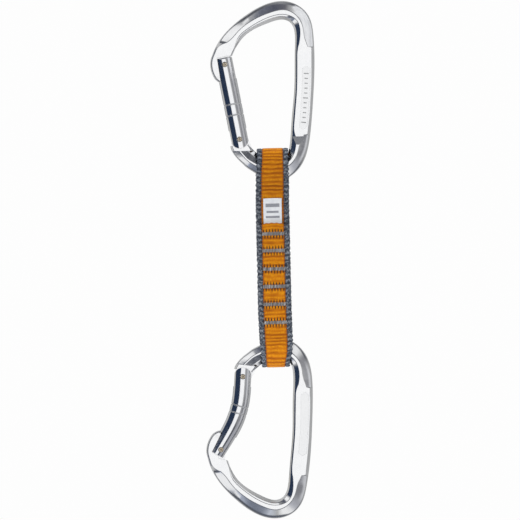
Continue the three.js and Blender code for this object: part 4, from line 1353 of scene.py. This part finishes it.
def build_world():
    """Light for the polish by direction, soft light for the cloth, white for the camera."""
    world = bpy.data.worlds.new("studio")
    scene.world = world
    world.use_nodes = True
    t = Shader(world.node_tree)
    ray = t.vmath("NORMALIZE", t.coords("Generated"))
    x, y, z = (t.part(ray, axis) for axis in range(3))
    # degrees from the direction behind the camera, and turns round it (0 to 1)
    theta = t.math("ARCCOSINE", y * -0.99999) * (180 / math.pi)
    phi = t.math("ARCTAN2", z, x) * (1 / TURN) + 0.5

    # what each zone shows round the clock
    navy, dim = (0.020, 0.034, 0.068), (0.085, 0.09, 0.105)
    line = t.ramp(phi, [
        (0.0, navy), (0.07, navy), (0.10, dim), (0.20, (0.11, 0.12, 0.15)), (0.40, dim),
        (0.435, 0.30), (0.50, 0.40), (0.540, 0.36), (0.575, dim), (0.68, dim),
        (0.75, (0.25, 0.255, 0.27)), (0.82, dim), (0.90, dim), (0.925, navy), (1.0, navy)])
    ring = t.ramp(phi, [
        (0.0, navy), (0.060, navy), (0.078, 0.55), (0.095, 0.92), (0.125, 0.90),
        (0.140, (0.42, 0.46, 0.56)), (0.165, (0.17, 0.19, 0.24)), (0.192, (0.20, 0.22, 0.27)),
        (0.215, (0.56, 0.59, 0.66)), (0.262, 0.40), (0.305, 0.90), (0.335, 0.88),
        (0.370, (0.45, 0.46, 0.50)), (0.460, (0.19, 0.19, 0.205)),
        (0.494, (0.42, 0.43, 0.45)), (0.525, (0.29, 0.29, 0.305)),
        (0.575, (0.23, 0.23, 0.25)), (0.600, 0.62), (0.620, 0.86), (0.640, 0.86),
        (0.662, 0.48), (0.730, (0.13, 0.13, 0.15)), (0.785, (0.085, 0.09, 0.12)),
        (0.816, (0.14, 0.15, 0.19)), (0.838, 0.48), (0.852, 0.88), (0.880, 0.97),
        (0.905, 0.85), (0.925, navy), (1.0, navy)])
    rear = t.ramp(phi, [
        (0.0, (0.50, 0.49, 0.46)), (0.05, 0.58), (0.10, 0.50), (0.20, 0.36), (0.28, 0.46),
        (0.36, 0.52), (0.45, 0.42), (0.50, 0.40), (0.55, 0.42), (0.63, 0.46), (0.70, 0.34),
        (0.78, 0.48), (0.90, 0.55), (0.96, (0.54, 0.54, 0.52)), (1.0, (0.50, 0.49, 0.46))],
        "EASE")

    def fade(angle, start, end):
        return t.span(angle, start, end, smooth=True)

    # zones from behind the camera outwards; the first reaches up to 9 degrees further
    # towards the left and right
    level = abs((phi * TURN).cosine())
    late = t.span(level, start=0.86, end=0.97) * 9.0
    look = t.mix(fade(theta - late, start=14.0, end=21.0), 1.0, line)
    look = t.mix(fade(theta, start=35.0, end=43.0), look, ring)
    stripe = (fade(theta, start=56.0, end=62.0) * fade(theta, start=78.0, end=72.0)
              * t.span(abs(phi - 0.48), start=0.08, end=0.04))
    look = t.tint(look, to=(0.85, 0.86, 0.88), where=stripe, amount=0.55)
    look = t.mix(fade(theta, start=73.0, end=80.0), look, line)
    look = t.mix(fade(theta, start=98.0, end=108.0), look, rear)
    look = t.mix(fade(theta, start=138.0, end=148.0), look,
                 t.mix(0.35, line, (0.30, 0.31, 0.33)))
    look = t.mix(fade(theta, start=157.0, end=165.0), look, (0.97, 0.97, 0.975))

    path = t.node("LightPath", {})
    soft = t.mix(t.span(z, start=-0.6, end=0.9), (0.40, 0.41, 0.43), (0.86, 0.86, 0.85))
    colour = t.mix(path.output("Is Glossy Ray"), soft, look)
    colour = t.mix(path.output("Is Camera Ray"), colour, 0.985)
    t.finish(t.node("Background", {0: colour}), "OutputWorld")


def area(name, place, target, size, power):
    """A round light that doesn't show in the polish."""
    data = bpy.data.lights.new(name, "AREA")
    data.shape, data.size, data.energy = "DISK", size, power
    light = bpy.data.objects.new(name, data)
    scene.collection.objects.link(light)
    light.location = place
    aim = Vector(target) - Vector(place)
    light.rotation_euler = aim.to_track_quat("-Z", "Y").to_euler()
    light.visible_glossy = light.visible_camera = False


def stage_mesh(name, points, faces):
    mesh = bpy.data.meshes.new(name)
    mesh.from_pydata(points, [], faces)
    piece = bpy.data.objects.new(name, mesh)
    scene.collection.objects.link(piece)
    return piece


def build_card():
    """A soft box close on the right of the draw; it shows only in the polish."""
    x, y0, y1, z0, z1 = 0.12, -0.115, -0.02, 0.136, 0.34
    corners = [(x, y0, z0), (x, y1, z0), (x, y1, z1), (x, y0, z1)]
    card = stage_mesh("card_right", corners, [[0, 1, 2, 3]])
    t = new_material("card_right")
    cloud = t.noise(t.stretch(t.coords(), (30, 160, 16)), scale=1.0, detail=3.0, rough=0.6)
    tone = t.mix(t.span(cloud, start=0.36, end=0.60), (0.50, 0.51, 0.53),
                 (0.93, 0.935, 0.945))
    t.finish(t.node("Emission", {0: tone}))
    card.data.materials.append(MATERIALS["card_right"])
    card.visible_camera = card.visible_diffuse = False
    card.visible_shadow = card.visible_transmission = False


def build_floor():
    """A pale floor well below the hanging draw, fading out before its edge."""
    z, segments, radius = -0.215, 96, 0.62
    angles = [2 * math.pi * i / segments for i in range(segments)]
    points = [(0, 0, z)] + [(radius * math.cos(a), radius * math.sin(a), z) for a in angles]
    faces = [[0, 1 + i, 1 + (i + 1) % segments] for i in range(segments)]
    floor = stage_mesh("floor", points, faces)
    floor.visible_glossy = False
    t = new_material("floor_pale")
    at = t.coords()
    x, y = t.part(at, 0), t.part(at, 1)
    distance = t.math("SQRT", x * x + y * y)
    cloud = t.noise(at, scale=9, detail=3.0, rough=0.5)
    tone = t.mix(t.span(cloud, start=0.35, end=0.65), (0.84, 0.84, 0.845), 0.87)
    pale = t.node("BsdfPrincipled", {"Base Color": tone, "Roughness": 0.85})
    fade = t.span(distance, start=0.12, end=0.58, smooth=True)
    t.finish(t.node("MixShader", {0: fade, 1: pale, 2: t.node("BsdfTransparent", {})}))
    floor.data.materials.append(MATERIALS["floor_pale"])


def build_camera():
    """Front on with a long lens, its top leaning slightly to the right."""
    distance, view_width, lean = 2.6, 0.2938, 0.02232
    shift_x, shift_z = -0.00033, 0.00017
    data = bpy.data.cameras.new("camera")
    camera = bpy.data.objects.new("camera", data)
    scene.collection.objects.link(camera)
    data.sensor_width = 36.0
    data.lens = data.sensor_width * distance / view_width
    data.clip_start, data.clip_end = 0.01, 30
    upright = math.sqrt(1 - lean * lean)
    camera.matrix_world = Matrix([
        [upright, lean, 0.0, shift_x],
        [0.0, 0.0, -1.0, -distance],
        [-lean, upright, 0.0, shift_z],
        [0, 0, 0, 1]])
    scene.camera = camera


build_world()
area("key", place=(-0.45, -0.80, 1.05), target=(0, 0, 0), size=0.45, power=15.0)
area("fill", place=(0.55, 0.95, 0.8), target=(0, 0, 0), size=0.6, power=12.0)
area("low", place=(0.0, -0.070, -0.122), target=(0, 0, -0.062), size=0.03, power=0.062)
build_card()
build_floor()
build_camera()
scene.view_settings.view_transform = "Standard"
scene.view_settings.look = "None"

bpy.context.view_layer.update()
